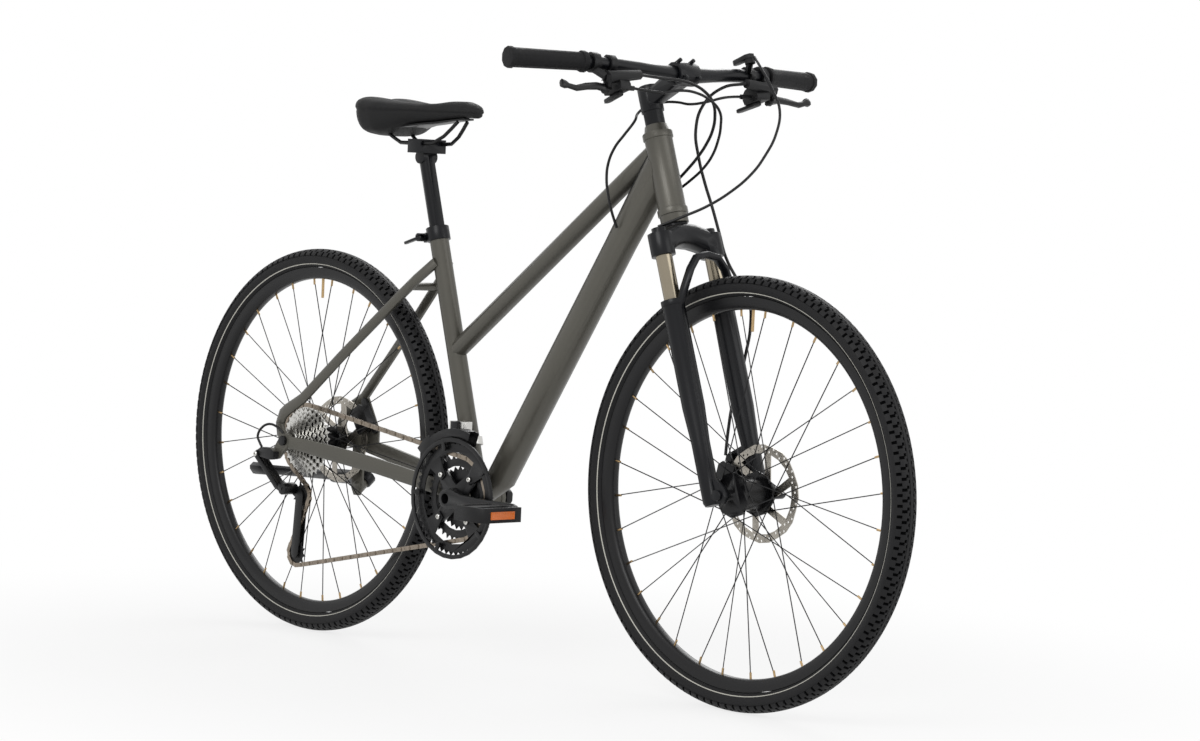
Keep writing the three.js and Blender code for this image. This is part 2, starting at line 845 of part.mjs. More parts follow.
// The lever itself, drawn round its pin with its blade backwards.
function releaseLever(share) {
  const { eyeRadius, pinRadius, half, length, tipRadius } = QUICK_RELEASE;
  const outline = strap([0, 0, eyeRadius * share], [-length * share, 0, tipRadius * share]);
  const hole = circle(pinRadius * share + GAP, AXLE.sides);
  return laidFlat(plate(outline, [hole], -half * share, half * share));
}

// The fixed axle of a wheel with its locknuts, the nut on the drive side and the lever's head on the other.
function axleSet(sizes, outerAt) {
  const inner = sizes.halfSpacing - GAP;
  const outer = outerAt + GAP;
  return [
    crossRod(0, 0, -outer - AXLE.nutLength, outer + GAP, AXLE.radius, AXLE.sides),
    crossRod(0, 0, -inner, -inner + AXLE.locknutLength, AXLE.nutRadius, AXLE.sides),
    crossRod(0, 0, inner - AXLE.locknutLength, inner, AXLE.nutRadius, AXLE.sides),
    crossRod(0, 0, -outer - AXLE.nutLength, -outer, AXLE.nutRadius, AXLE.sides),
    releaseHead(outer, 1),
  ];
}
const rearOuter = REAR_HUB.halfSpacing + DROPOUT.thickness;
const frontOuter = FRONT_HUB.halfSpacing + FORK.footThickness;

// Frame

const headTubeCut = () =>
  rod(onSteerer(headBottom - OVERRUN), onSteerer(headTop + OVERRUN), HEAD_TUBE.radius + GAP, HEAD_TUBE.sides);
const seatTubeCut = () => rod(bracket, onSeatTube(SEAT_TUBE.length), SEAT_TUBE.radius + GAP, SEAT_TUBE.sides);
const bracketCut = () => {
  const past = BRACKET.shellHalf + OVERRUN;
  return crossRod(bracket.x, bracket.z, -past, past, BRACKET.shellRadius + GAP, BRACKET.sides);
};

function headTube() {
  const bearing = FORK.steererRadius + GAP;
  const { radius, ringRadius, ringHeight } = HEAD_TUBE;
  const cupBottom = FORK.crownRaceHeight + GAP;
  const cupTop = headTop + HEADSET.upperHeight;
  const profile = [
    [bearing, cupBottom],
    [HEADSET.lowerRadius, cupBottom],
    [HEADSET.lowerRadius, headBottom],
    [ringRadius, headBottom],
    [ringRadius, headBottom + ringHeight],
    [radius, headBottom + ringHeight],
    [radius, headTop - ringHeight],
    [ringRadius, headTop - ringHeight],
    [ringRadius, headTop],
    [HEADSET.upperRadius, headTop],
    [HEADSET.topRadius, cupTop],
    [bearing, cupTop],
  ];
  return placed(turnedOnZ(profile, HEAD_TUBE.sides), steerFoot, steerAhead, AXIS_Y);
}

const downTubeTop = onSteerer(headTop - DOWN_TUBE.belowHeadTop);
const downTubeFoot = bracket.clone().setX(bracket.x + DOWN_TUBE.aheadOfBracket);
const downTubeAlong = downTubeTop.clone().sub(downTubeFoot).normalize();
const downTubeUp = downTubeAlong.clone().cross(AXIS_Y);

// The down tube grows from round to a tall oval at the head, and narrows to the bottom bracket shell.
function downTubeShape(extra) {
  const { radius, rootHalfWidth, rootHalfHeight, headHalfWidth, headHalfHeight, headTaper } = DOWN_TUBE;
  const root = bracket.clone().setX(bracket.x + DOWN_TUBE.rootAhead);
  const stations = [
    [root, rootHalfWidth, rootHalfHeight],
    [downTubeFoot.clone().addScaledVector(downTubeAlong, DOWN_TUBE.rootLength), radius, radius],
    [downTubeTop.clone().addScaledVector(downTubeAlong, -headTaper), radius, radius],
    [downTubeTop, headHalfWidth, headHalfHeight],
  ];
  return loft(
    stations.map(([centre, halfWidth, halfHeight]) =>
      ellipse(centre, AXIS_Y, downTubeUp, halfWidth + extra, halfHeight + extra, DOWN_TUBE.sides),
    ),
  );
}

function downTube() {
  const bosses = [0, BOTTLE_BOSS.spacing].map((further) => {
    const foot = downTubeTop.clone().addScaledVector(downTubeAlong, -BOTTLE_BOSS.fromHead - further);
    const outer = foot.clone().addScaledVector(downTubeUp, DOWN_TUBE.radius + BOTTLE_BOSS.height);
    const inner = foot.addScaledVector(downTubeUp, DOWN_TUBE.radius - DOWN_TUBE.wall);
    return rod(inner, outer, BOTTLE_BOSS.radius, BOTTLE_BOSS.sides);
  });
  const tube = cut(downTubeShape(0), downTubeShape(-DOWN_TUBE.wall), headTubeCut(), bracketCut(), seatTubeCut());
  return join(tube, bosses);
}

const topTubeRod = (radius) =>
  rod(onSeatTube(TOP_TUBE.seatTubeHeight), onSteerer(headTop - TOP_TUBE.belowHeadTop), radius, TOP_TUBE.sides);
function topTube() {
  const hollow = topTubeRod(TOP_TUBE.radius - TOP_TUBE.wall);
  return cut(topTubeRod(TOP_TUBE.radius), hollow, headTubeCut(), downTubeShape(GAP), seatTubeCut());
}

const collarMiddle = SEAT_TUBE.length - SEAT_TUBE.collarHeight / 2;
function seatTube() {
  const top = onSeatTube(SEAT_TUBE.length);
  const collarFoot = SEAT_TUBE.length - SEAT_TUBE.collarHeight;
  const bore = rod(bracket, onSeatTube(SEAT_TUBE.length + OVERRUN), SEATPOST.radius + GAP, SEAT_TUBE.sides);
  const half = SEAT_TUBE.slotWidth / 2;
  const ears = block(
    point(-COLLAR.earBehind, -COLLAR.earHalf, collarFoot + COLLAR.earInset),
    point(-SEAT_TUBE.radius, COLLAR.earHalf, SEAT_TUBE.length - COLLAR.earInset),
  );
  const slot = block(
    point(-COLLAR.earBehind - OVERRUN, -half, collarFoot - OVERRUN),
    point(-SEATPOST.radius / 2, half, SEAT_TUBE.length + OVERRUN),
  );
  const boltEnd = COLLAR.earHalf + AXLE.nutLength / 2;
  const head = moved(mirrored(releaseHead(COLLAR.earHalf - GAP, QUICK_RELEASE.collarShare)), -COLLAR.boltBehind, 0, collarMiddle);
  const bolt = crossRod(-COLLAR.boltBehind, collarMiddle, -COLLAR.earHalf, boltEnd, AXLE.radius, AXLE.sides);
  const inSeatFrame = (geometry) => placed(geometry, bracket, seatAhead, AXIS_Y);
  const tube = join(
    rod(bracket, top, SEAT_TUBE.radius, SEAT_TUBE.sides),
    rod(onSeatTube(collarFoot), top, SEAT_TUBE.collarRadius, SEAT_TUBE.sides),
    inSeatFrame(ears),
  );
  return join(cut(tube, bore, inSeatFrame(slot), bracketCut()), inSeatFrame(bolt), inSeatFrame(head));
}

function bottomBracket() {
  const bore = BRACKET.spindleRadius + GAP;
  const end = BRACKET.shellHalf + BRACKET.cupLength;
  const profile = [
    [bore, -end],
    [BRACKET.cupRadius, -end],
    [BRACKET.cupRadius, -BRACKET.shellHalf],
    [BRACKET.shellRadius, -BRACKET.shellHalf],
    [BRACKET.shellRadius, BRACKET.shellHalf],
    [BRACKET.cupRadius, BRACKET.shellHalf],
    [BRACKET.cupRadius, end],
    [bore, end],
  ];
  return moved(turnedOnY(profile, BRACKET.sides), bracket.x, 0, bracket.z);
}

// The side distance of the stays' centre line at the rear axle, and the height at which they part.
const stayAt = REAR_HUB.halfSpacing + CHAINSTAY.endHalfWidth;
const bendPoints = BEND.points.map(([behind, above]) => point(rearAxle.x - behind, stayAt, rearAxle.z + above));
const partHeight = bendPoints[BEND.split].z;

// A box round both bends, from one height to another.
function bendBox(from, to) {
  const reach = 3 * CHAINSTAY.halfHeight;
  const x = bendPoints[BEND.split].x;
  return block(point(x - reach, -2 * stayAt, from), point(x + reach, 2 * stayAt, to));
}

// The left chainstay, past the axle and up behind it, and the boss that holds the axle.
function chainstay() {
  const onLine = (share, side) => {
    const spot = bracket.clone().lerp(rearAxle, share);
    return point(spot.x, side, spot.z + CHAINSTAY.bow * Math.sin(Math.PI * share));
  };
  const curve = smooth([
    onLine(CHAINSTAY.rootShare, CHAINSTAY.rootHalfGap),
    ...CHAINSTAY.pathShares.map(([share, side]) => onLine(share, side * stayAt)),
    point(rearAxle.x, stayAt, rearAxle.z),
    ...bendPoints.slice(0, BEND.split + 2),
  ]);
  const sizeAt = (share) => {
    const late = Math.min(1, Math.max(0, share - 0.65) / 0.25);
    return [
      between(CHAINSTAY.halfWidth, CHAINSTAY.endHalfWidth, late),
      between(CHAINSTAY.halfHeight, CHAINSTAY.endHalfHeight, late),
    ];
  };
  const shares = [0, 0.2, 0.42, 0.62, 0.78, 0.87, 0.9, 0.93, 0.965, 1];
  const stay = sweep(curve, shares, sizeAt, AXIS_Y, CHAINSTAY.sides, 2.4);
  const boss = crossRod(rearAxle.x, rearAxle.z, REAR_HUB.halfSpacing, rearOuter, DROPOUT.bossRadius, AXLE.sides);
  return [cut(stay, bendBox(partHeight, partHeight + 2 * SEATSTAY.footAbove)), boss];
}

const axleBore = () => {
  const past = rearOuter + OVERRUN;
  return crossRod(rearAxle.x, rearAxle.z, -past, past, AXLE.radius + GAP, AXLE.sides);
};

// The kickstand turns on a pin that leans outwards and up, so that the leg swings down and out.
const standAxis = point(0, Math.cos(KICKSTAND.tilt), Math.sin(KICKSTAND.tilt));
const standPivot = point(rearAxle.x + KICKSTAND.ahead, KICKSTAND.out, rearAxle.z - KICKSTAND.below);

function leftChainstay() {
  const { bracketAt, bracketHalf, bracketRadius, bossRadius, boltRadius, housingHalf } = KICKSTAND;
  const bossTop = standPivot.clone().addScaledVector(standAxis, -housingHalf - GAP);
  const bossFoot = bossTop.clone().addScaledVector(standAxis, (bracketAt - bossTop.y) / standAxis.y);
  const standPlate = plate(
    strap([standPivot.x, rearAxle.z, CHAINSTAY.halfHeight], [bossFoot.x, bossFoot.z, bracketRadius]),
    [],
    bracketAt - bracketHalf,
    bracketAt + bracketHalf,
  );
  const standBoss = rod(bossFoot, bossTop, bossRadius, AXLE.sides);
  const bolt = rod(bossFoot, standPivot.clone().addScaledVector(standAxis, housingHalf), boltRadius, AXLE.sides);
  const [lower, upper] = earsOf(CALIPER.rearAngle).map(([x, z]) => [rearAxle.x + x, rearAxle.z + z]);
  const mountAt = REAR_HUB.rotorAt + CALIPER.halfWidth + GAP;
  const reach = CALIPER.earRadius;
  const mount = plate(
    [
      [lower[0] - reach, rearAxle.z - CHAINSTAY.halfHeight],
      [lower[0] + reach, rearAxle.z - CHAINSTAY.halfHeight],
      [lower[0] + reach, lower[1]],
      [upper[0] + reach, upper[1] + reach],
      [upper[0] - reach, upper[1]],
      [upper[0] - reach, rearAxle.z],
    ],
    [],
    mountAt,
    mountAt + CALIPER.mountThickness,
  );
  const stay = join(chainstay(), standPlate, standBoss, bolt, mount);
  return cut(stay, axleBore(), bracketCut(), downTubeShape(GAP));
}

// The derailleur's link turns on a pin that lies fore and aft, tilted up to the front.
const linkAxis = point(Math.cos(DERAILLEUR.linkTilt), 0, Math.sin(DERAILLEUR.linkTilt));
const linkTop = point(rearAxle.x - DERAILLEUR.upperBehind, -DERAILLEUR.upperOut, rearAxle.z - DERAILLEUR.upperBelow);
const linkSpan = point(
  DERAILLEUR.linkDrop * Math.tan(DERAILLEUR.linkTilt),
  DERAILLEUR.linkIn,
  -DERAILLEUR.linkDrop,
);
const linkFoot = linkTop.clone().add(linkSpan);
const cagePivot = point(rearAxle.x - DERAILLEUR.pivotBehind, -CASSETTE.firstAt, rearAxle.z - DERAILLEUR.pivotBelow);

// The room that the link needs round one of its pins, open to the rear.
function linkRoom(pin) {
  const front = pin.clone().addScaledVector(linkAxis, DERAILLEUR.linkHalf + GAP);
  const rear = pin.clone().addScaledVector(linkAxis, -DERAILLEUR.linkHalf - 2 * DERAILLEUR.linkRadius);
  return rod(front, rear, DERAILLEUR.linkRadius + 2 * GAP, AXLE.sides);
}

function linkPin(pin) {
  const front = pin.clone().addScaledVector(linkAxis, DERAILLEUR.linkHalf + 2 * DERAILLEUR.linkPin);
  const rear = pin.clone().addScaledVector(linkAxis, -DERAILLEUR.linkHalf - GAP);
  return rod(front, rear, DERAILLEUR.linkPin, AXLE.sides);
}

function rightChainstay() {
  const hangerX = rearAxle.x - DERAILLEUR.hangerBehind;
  const hangerZ = rearAxle.z - DERAILLEUR.hangerBelow;
  const hanger = plate(
    strap([rearAxle.x, rearAxle.z, DROPOUT.bossRadius], [hangerX, hangerZ, DERAILLEUR.knuckleRadius]),
    [],
    -rearOuter,
    -rearOuter + DERAILLEUR.hangerThickness,
  );
  const pinRoot = linkTop.clone().addScaledVector(linkAxis, DERAILLEUR.linkHalf + 2 * DERAILLEUR.linkPin);
  const knuckle = plate(
    strap([hangerX, hangerZ, DERAILLEUR.knuckleRadius], [pinRoot.x, pinRoot.z, DERAILLEUR.linkRadius]),
    [],
    -DERAILLEUR.upperOut - DERAILLEUR.knuckleThickness / 2,
    GAP - rearOuter,
  );
  const stay = cut(join(chainstay().map(mirrored), hanger), bracketCut(), downTubeShape(GAP));
  return join(cut(join(stay, knuckle), axleBore(), linkRoom(linkTop)), linkPin(linkTop));
}

// Both seatstays and the bridge between them.
function seatstays() {
  const foot = point(rearAxle.x + SEATSTAY.footAhead, stayAt, rearAxle.z + SEATSTAY.footAbove);
  const top = onSeatTube(SEAT_TUBE.length - SEATSTAY.belowTubeTop).setY(SEATSTAY.topHalfGap);
  const at = (share, side) => foot.clone().lerp(top, share).setY(side * stayAt);
  const curve = smooth([...bendPoints, foot, ...SEATSTAY.pathShares.map(([share, side]) => at(share, side)), top]);
  const sizeAt = (share) => {
    const late = Math.min(1, Math.max(0, share - 0.08) / 0.15);
    return [
      between(CHAINSTAY.endHalfWidth, SEATSTAY.halfWidth, late),
      between(CHAINSTAY.endHalfHeight, SEATSTAY.halfHeight, late),
    ];
  };
  const shares = [0, 0.03, 0.07, 0.1, 0.13, 0.2, 0.45, 0.65, 0.8, 0.9, 1];
  const left = sweep(curve, shares, sizeAt, AXIS_Y, SEATSTAY.sides, 2.2);
  const bridgeAt = at(SEATSTAY.bridgeShare, SEATSTAY.pathShares[2][1]);
  const bridge = crossRod(bridgeAt.x, bridgeAt.z, -bridgeAt.y, bridgeAt.y, SEATSTAY.bridgeRadius, SEATSTAY.sides);
  const below = bendBox(rearAxle.z - SEATSTAY.footAbove, partHeight + GAP);
  return cut(join(left, mirrored(left), bridge), seatTubeCut(), below);
}

// Front derailleur

function arcPlate(inner, outer, from, to, steps) {
  const arc = (radius) => evenly(steps).map((share) => polar(radius, between(from, to, share)));
  return [...arc(outer), ...arc(inner).reverse()].map(([x, z]) => [bracket.x + x, bracket.z + z]);
}

const shifterX = onSeatTube(FRONT_SHIFTER.clampHeight).x;
const shifterPin = point(shifterX, -FRONT_SHIFTER.pinAt, bracket.z + FRONT_SHIFTER.pinAbove);

function frontDerailleur() {
  const { clampOuter, clampHalf, bodyHalf, bodyFrom, bodyTo, bodyBottom, bodyTop, lugHalf, lugBottom } = FRONT_SHIFTER;
  const bore = SEAT_TUBE.radius + GAP;
  const profile = [
    [bore, -clampHalf],
    [clampOuter, -clampHalf],
    [clampOuter, clampHalf],
    [bore, clampHalf],
  ];
  const ring = turnedOnZ(profile, SEAT_TUBE.sides);
  const clamp = placed(ring, onSeatTube(FRONT_SHIFTER.clampHeight), seatAhead, AXIS_Y);
  const body = block(
    point(shifterX - bodyHalf, -bodyTo, bracket.z + bodyBottom),
    point(shifterX + bodyHalf, -bodyFrom, bracket.z + bodyTop),
  );
  const lugRoom = block(
    point(shifterX - lugHalf - GAP, -bodyTo - OVERRUN, bracket.z + lugBottom - 2 * GAP),
    point(shifterX + lugHalf + GAP, -FRONT_SHIFTER.slotDepth, bracket.z + bodyTop + OVERRUN),
  );
  const solid = cut(join(clamp, body), lugRoom, seatTubeCut());
  return join(solid, pinThrough(shifterPin, AXIS_X, bodyHalf - GAP, FRONT_SHIFTER.pinRadius, AXLE.sides));
}

function frontDerailleurCage() {
  const { cageInner, cageOuter, cagePlate, startAngle, endAngle, tailAngle, bridgeAngle } = FRONT_SHIFTER;
  const { plateInner, deepInner, plateOuter, tailOuter, bridgeDepth, lugHalf, lugBottom, pinRadius } = FRONT_SHIFTER;
  const across = (outline) => plate(outline, [], -cageOuter, -cageInner);
  const inner = plate(arcPlate(deepInner, plateOuter, startAngle, endAngle, 6), [], -cageInner - cagePlate, -cageInner);
  const outer = plate(arcPlate(plateInner, plateOuter, startAngle, endAngle, 6), [], -cageOuter, -cageOuter + cagePlate);
  const tails = [-cageInner - cagePlate, -cageOuter].map((from) =>
    plate(arcPlate(plateInner, tailOuter, tailAngle, endAngle, 2), [], from, from + cagePlate),
  );
  const top = across(
    arcPlate(plateOuter - bridgeDepth, plateOuter, startAngle + bridgeAngle, startAngle + 8 * bridgeAngle, 4),
  );
  const bottom = across(arcPlate(plateInner, plateInner + bridgeDepth, endAngle - bridgeAngle, endAngle, 1));
  const lug = block(
    point(shifterX - lugHalf, -cageInner - cagePlate, bracket.z + lugBottom),
    point(shifterX + lugHalf, shifterPin.y + 2 * pinRadius, shifterPin.z + 2 * pinRadius),
  );
  const bore = pinThrough(shifterPin, AXIS_X, 2 * lugHalf, pinRadius + GAP, AXLE.sides);
  return cut(join(inner, outer, tails, top, bottom, lug), bore);
}

// Drivetrain

const pitchRadius = (teeth) => CHAIN.pitch / (2 * Math.sin(Math.PI / teeth));

// A toothed outline: two root corners and one tip for each tooth. The first tooth's tip lies at the phase.
function toothed(teeth, phase) {
  const root = pitchRadius(teeth) - TOOTH.rootDepth;
  const tip = pitchRadius(teeth) + TOOTH.height;
  const rootAngle = Math.PI / teeth - TOOTH.rootHalf / pitchRadius(teeth);
  return Array.from({ length: teeth }, (_, i) => {
    const angle = phase + (TURN * i) / teeth;
    return [polar(root, angle - rootAngle), polar(tip, angle), polar(root, angle + rootAngle)];
  }).flat();
}

// The same with a single root corner between two teeth, for wheels that the chain doesn't lie on.
function pointed(teeth, phase) {
  return Array.from({ length: 2 * teeth }, (_, i) =>
    polar(pitchRadius(teeth) + (i % 2 ? -TOOTH.rootDepth : TOOTH.height), phase + (Math.PI * i) / teeth),
  );
}

// The chain's path in the plane of the wheels, as [forward, up].
// Each toothed wheel has its centre, its side distance and the sense in which the chain goes round it.
function chainPath(cageAngle) {
  const guide = [cagePivot.x + DERAILLEUR.guideAhead, cagePivot.z - DERAILLEUR.guideBelow];
  const [alongX, alongZ] = polar(DERAILLEUR.cageLength, cageAngle);
  const tension = [guide[0] + alongX, guide[1] - alongZ];
  const pulleyTeeth = DERAILLEUR.pulleyTeeth;
  const wheels = [
    { centre: [bracket.x, bracket.z], teeth: RINGS.middleTeeth, side: -RINGS.middleAt, sense: 1 },
    { centre: [rearAxle.x, rearAxle.z], teeth: CASSETTE.teeth[0], side: -CASSETTE.firstAt, sense: 1 },
    { centre: guide, teeth: pulleyTeeth, side: -CASSETTE.firstAt, sense: -1 },
    { centre: tension, teeth: pulleyTeeth, side: -CASSETTE.firstAt, sense: 1 },
  ];
  const signed = (wheel) => wheel.sense * pitchRadius(wheel.teeth);
  const runs = wheels.map((wheel, i) => {
    const next = wheels[(i + 1) % wheels.length];
    const [dx, dz] = [next.centre[0] - wheel.centre[0], next.centre[1] - wheel.centre[1]];
    const heading = Math.atan2(dz, dx) - Math.asin((signed(next) - signed(wheel)) / Math.hypot(dx, dz));
    const touch = (w) => [w.centre[0] + signed(w) * Math.sin(heading), w.centre[1] - signed(w) * Math.cos(heading)];
    const [from, to] = [touch(wheel), touch(next)];
    return { from, to, heading, length: Math.hypot(to[0] - from[0], to[1] - from[1]) };
  });
  const wraps = wheels.map((wheel, i) => {
    const before = runs[(i + wheels.length - 1) % wheels.length];
    const start = Math.atan2(before.to[1] - wheel.centre[1], before.to[0] - wheel.centre[0]);
    const turn = (((wheel.sense * (runs[i].heading - before.heading)) % TURN) + TURN) % TURN;
    return { start, turn, length: (turn / TURN) * wheel.teeth * CHAIN.pitch };
  });
  const total = [...runs, ...wraps].reduce((sum, stretch) => sum + stretch.length, 0);
  return { wheels, runs, wraps, total };
}

// The cage swings until the chain's length is a whole, even number of links.
function settledPath() {
  const nominal = DERAILLEUR.cageAngle;
  const links = 2 * Math.round(chainPath(nominal).total / CHAIN.pitch / 2);
  const excess = (angle) => chainPath(angle).total - links * CHAIN.pitch;
  let [low, high] = [nominal - 25 * DEG, nominal + 25 * DEG];
  const rising = excess(high) > excess(low);
  for (let i = 0; i < 40; i++) {
    const middle = (low + high) / 2;
    if (excess(middle) > 0 === rising) high = middle;
    else low = middle;
  }
  return { ...chainPath(low), links };
}
const path = settledPath();

// How far the chain has moved across to the next wheel, at a distance along a run.
function shareAcross(along, length) {
  const share = (along - CHAIN.straight) / (length - 2 * CHAIN.straight);
  return length > 2 * CHAIN.straight ? Math.min(1, Math.max(0, share)) : along / length;
}

// One pin of the chain, with the direction of travel there.
function pinAt(distance) {
  let left = distance;
  for (let w = 0; w < path.wheels.length; w++) {
    const [wheel, wrap, run] = [path.wheels[w], path.wraps[w], path.runs[w]];
    if (left <= wrap.length) {
      const angle = wrap.start + (wheel.sense * wrap.turn * left) / wrap.length;
      const [x, z] = polar(pitchRadius(wheel.teeth), angle);
      const spot = point(wheel.centre[0] + x, wheel.side, wheel.centre[1] + z);
      return { spot, heading: angle + (wheel.sense * Math.PI) / 2, wheel: w, angle };
    }
    left -= wrap.length;
    if (left <= run.length) {
      const share = left / run.length;
      const nextSide = path.wheels[(w + 1) % path.wheels.length].side;
      const side = between(wheel.side, nextSide, shareAcross(left, run.length));
      const spot = point(between(run.from[0], run.to[0], share), side, between(run.from[1], run.to[1], share));
      return { spot, heading: run.heading };
    }
    left -= run.length;
  }
  return pinAt(distance - path.total);
}
const pins = Array.from({ length: path.links }, (_, i) => pinAt((i + 0.5) * CHAIN.pitch));

// Each toothed wheel has a tooth halfway between two of the pins that lie on it.
const phases = path.wheels.map((wheel, w) => pins.find((pin) => pin.wheel === w).angle + Math.PI / wheel.teeth);

// The chain as one closed surface: two plates that bend at each pin, with a roller at every second one.
function chain() {
  const corners = [];
  const faces = [];
  const face = (...loop) => {
    for (let i = 1; i < loop.length - 1; i++) faces.push(loop[0], loop[i], loop[i + 1]);
  };
  const { innerHalf, halfHeight, rollerHalf } = CHAIN;
  const outerHalf = innerHalf + CHAIN.plate;
  // Four corners across the chain, bottom then top, from the drive side across.
  const four = ({ spot, heading }, along, half) => {
    const [dx, dz] = polar(1, heading);
    for (const side of [-half, half]) {
      for (const up of [-halfHeight, halfHeight]) {
        corners.push(point(spot.x + dx * along - dz * up, spot.y + side, spot.z + dz * along + dx * up));
      }
    }
    return corners.length - 4;
  };
  // Each pin has its four outer corners, and the inner ones where the link before it ends and the next begins.
  const joints = pins.map((pin, i) => {
    const outer = four(pin, 0, outerHalf);
    if (i % 2) {
      const inner = four(pin, 0, innerHalf);
      return { outer, ends: inner, begins: inner };
    }
    return { outer, ends: four(pin, -rollerHalf, innerHalf), begins: four(pin, rollerHalf, innerHalf) };
  });
  joints.forEach(({ outer, ends, begins }, i) => {
    if (ends !== begins) {
      face(outer, begins, begins + 2, outer + 2, ends + 2, ends);
      face(ends + 1, ends + 3, outer + 3, begins + 3, begins + 1, outer + 1);
      face(ends, ends + 2, ends + 3, ends + 1);
      face(begins + 2, begins, begins + 1, begins + 3);
    }
    const next = joints[(i + 1) % joints.length];
    face(outer, next.outer, next.ends, begins);
    face(begins + 2, next.ends + 2, next.outer + 2, outer + 2);
    face(begins + 1, next.ends + 1, next.outer + 1, outer + 1);
    face(outer + 3, next.outer + 3, next.ends + 3, begins + 3);
    face(outer + 1, next.outer + 1, next.outer, outer);
    face(outer + 2, next.outer + 2, next.outer + 3, outer + 3);
    face(begins, next.ends, next.ends + 1, begins + 1);
    face(begins + 3, next.ends + 3, next.ends + 2, begins + 2);
  });
  const geometry = new THREE.BufferGeometry().setFromPoints(corners);
  geometry.setIndex(faces);
  return join(geometry);
}

// The chainring bolts' angles, and a round bar on each of them.
const boltAngles = Array.from({ length: RINGS.boltCount }, (_, i) => (TURN * (i + 0.5)) / RINGS.boltCount);
function onBolts(circleRadius, from, to, radius, sides) {
  return boltAngles.map((angle) => {
    const [x, z] = polar(circleRadius, angle);
    return crossRod(x, z, from, to, radius, sides);
  });
}

// A chainring with one tab reaching in at each chainring bolt.
function chainring(teeth, at, outline) {
  const radius = pitchRadius(teeth) - TOOTH.rootDepth - RINGS.rimDepth;
  const narrow = RINGS.tabHalfAngle;
  const opening = boltAngles.flatMap((angle) => [
    polar(RINGS.tabRadius, angle - narrow),
    polar(RINGS.tabRadius, angle + narrow),
    ...evenly(4).map((share) => polar(radius, between(angle + 1.3 * narrow, angle + TURN / RINGS.boltCount - 1.3 * narrow, share))),
  ]);
  return plate(outline, [opening], -at - TOOTH.halfThickness, -at + TOOTH.halfThickness);
}

// Drawn round the crank's axis, in the crank's own frame. The chain lies on the middle ring.
function chainrings() {
  const large = chainring(RINGS.largeTeeth, RINGS.largeAt, pointed(RINGS.largeTeeth, 0));
  const middleOutline = toothed(RINGS.middleTeeth, phases[0] + CRANK.angle);
  const middle = chainring(RINGS.middleTeeth, RINGS.middleAt, middleOutline);
  const boltOuter = RINGS.largeAt + TOOTH.halfThickness + RINGS.guardHalf;
  const bolts = onBolts(RINGS.boltCircle, -boltOuter, -RINGS.middleAt + TOOTH.halfThickness, RINGS.boltRadius, 6);
  const guardFrom = -RINGS.guardAt - RINGS.guardHalf;
  const guardTo = -RINGS.guardAt + RINGS.guardHalf;
  const guard = plate(circle(RINGS.guardOuter, 30), [circle(RINGS.guardInner, 30)], guardFrom, guardTo);
  const tabs = Array.from({ length: RINGS.guardTabs }, (_, i) => {
    const angle = (TURN * (i + 0.5)) / RINGS.guardTabs;
    const [x, z] = polar(RINGS.guardTabRadius, angle);
    const [outX, outZ] = polar((RINGS.guardOuter + RINGS.guardInner) / 2, angle);
    const pinRadius = RINGS.guardPinRadius;
    return [
      plate(strap([x, z, 2 * pinRadius], [outX, outZ, pinRadius]), [], guardFrom, guardTo),
      crossRod(x, z, guardTo - GAP, -RINGS.largeAt, pinRadius, 6),
    ];
  });
  return join(large, middle, bolts, guard, tabs.flat());
}

// A crank arm that widens towards both ends and leans outwards. The side is -1 on the drive side.
function crankArm(side, bossInner) {
  const { length, bossRadius, bossThickness, waistHalf, endRadius, endInner, endOuter, sides } = CRANK;
  const stations = [
    ...CRANK.bossShares.map(([share, size, out]) => [share, size * bossRadius, out]),
    [0.22, waistHalf, 0.2],
    [0.6, waistHalf, 0.65],
    ...CRANK.endShares.map(([share, size, out]) => [share, size * endRadius, out]),
  ];
  const rings = stations.map(([share, halfHeight, out]) => {
    const inner = between(bossInner, endInner, out);
    const outer = between(bossInner + bossThickness, endOuter, out);
    const centre = point(share * length, (side * (inner + outer)) / 2, 0);
    return ellipse(centre, AXIS_Y, AXIS_Z, (outer - inner) / 2, halfHeight, sides, 4);
  });
  const [from, to] = [side * (endInner - OVERRUN), side * (endOuter + OVERRUN)];
  return cut(loft(rings), crossRod(length, 0, from, to, CRANK.pedalAxleRadius + GAP, AXLE.sides));
}

function rightCrank() {
  const { rightBossInner, bossThickness, bossRadius } = CRANK;
  const outer = RINGS.largeAt - TOOTH.halfThickness - GAP;
  const inner = RINGS.middleAt + TOOTH.halfThickness + GAP;
  const rightEnd = rightBossInner + bossThickness;
  const leftEnd = CRANK.leftBossInner + bossThickness;
  const spindle = (extra, radius) => crossRod(0, 0, -rightEnd - extra, leftEnd + extra, radius, BRACKET.sides);
  const boss = crossRod(0, 0, -rightBossInner - GAP, -inner, bossRadius, BRACKET.sides);
  const spider = boltAngles.map((angle) =>
    plate(strap([0, 0, bossRadius], [...polar(RINGS.boltCircle, angle), RINGS.spiderHalf]), [], -outer, -inner),
  );
  const holes = onBolts(RINGS.boltCircle, -outer - OVERRUN, -inner + OVERRUN, RINGS.boltRadius + GAP, 6);
  const smallFrom = -RINGS.smallAt - TOOTH.halfThickness;
  const small = plate(pointed(RINGS.smallTeeth, 0), [circle(RINGS.smallInner, 16)], smallFrom, smallFrom + 2 * TOOTH.halfThickness);
  const posts = onBolts(RINGS.smallBoltCircle, -inner - TOOTH.halfThickness, -RINGS.smallAt, RINGS.boltRadius, 6);
  const solid = join(cut(join(spider), holes), boss, spindle(0, BRACKET.spindleRadius), small, posts, crankArm(-1, rightBossInner));
  return cut(solid, spindle(OVERRUN, BRACKET.spindleRadius - BRACKET.spindleWall));
}

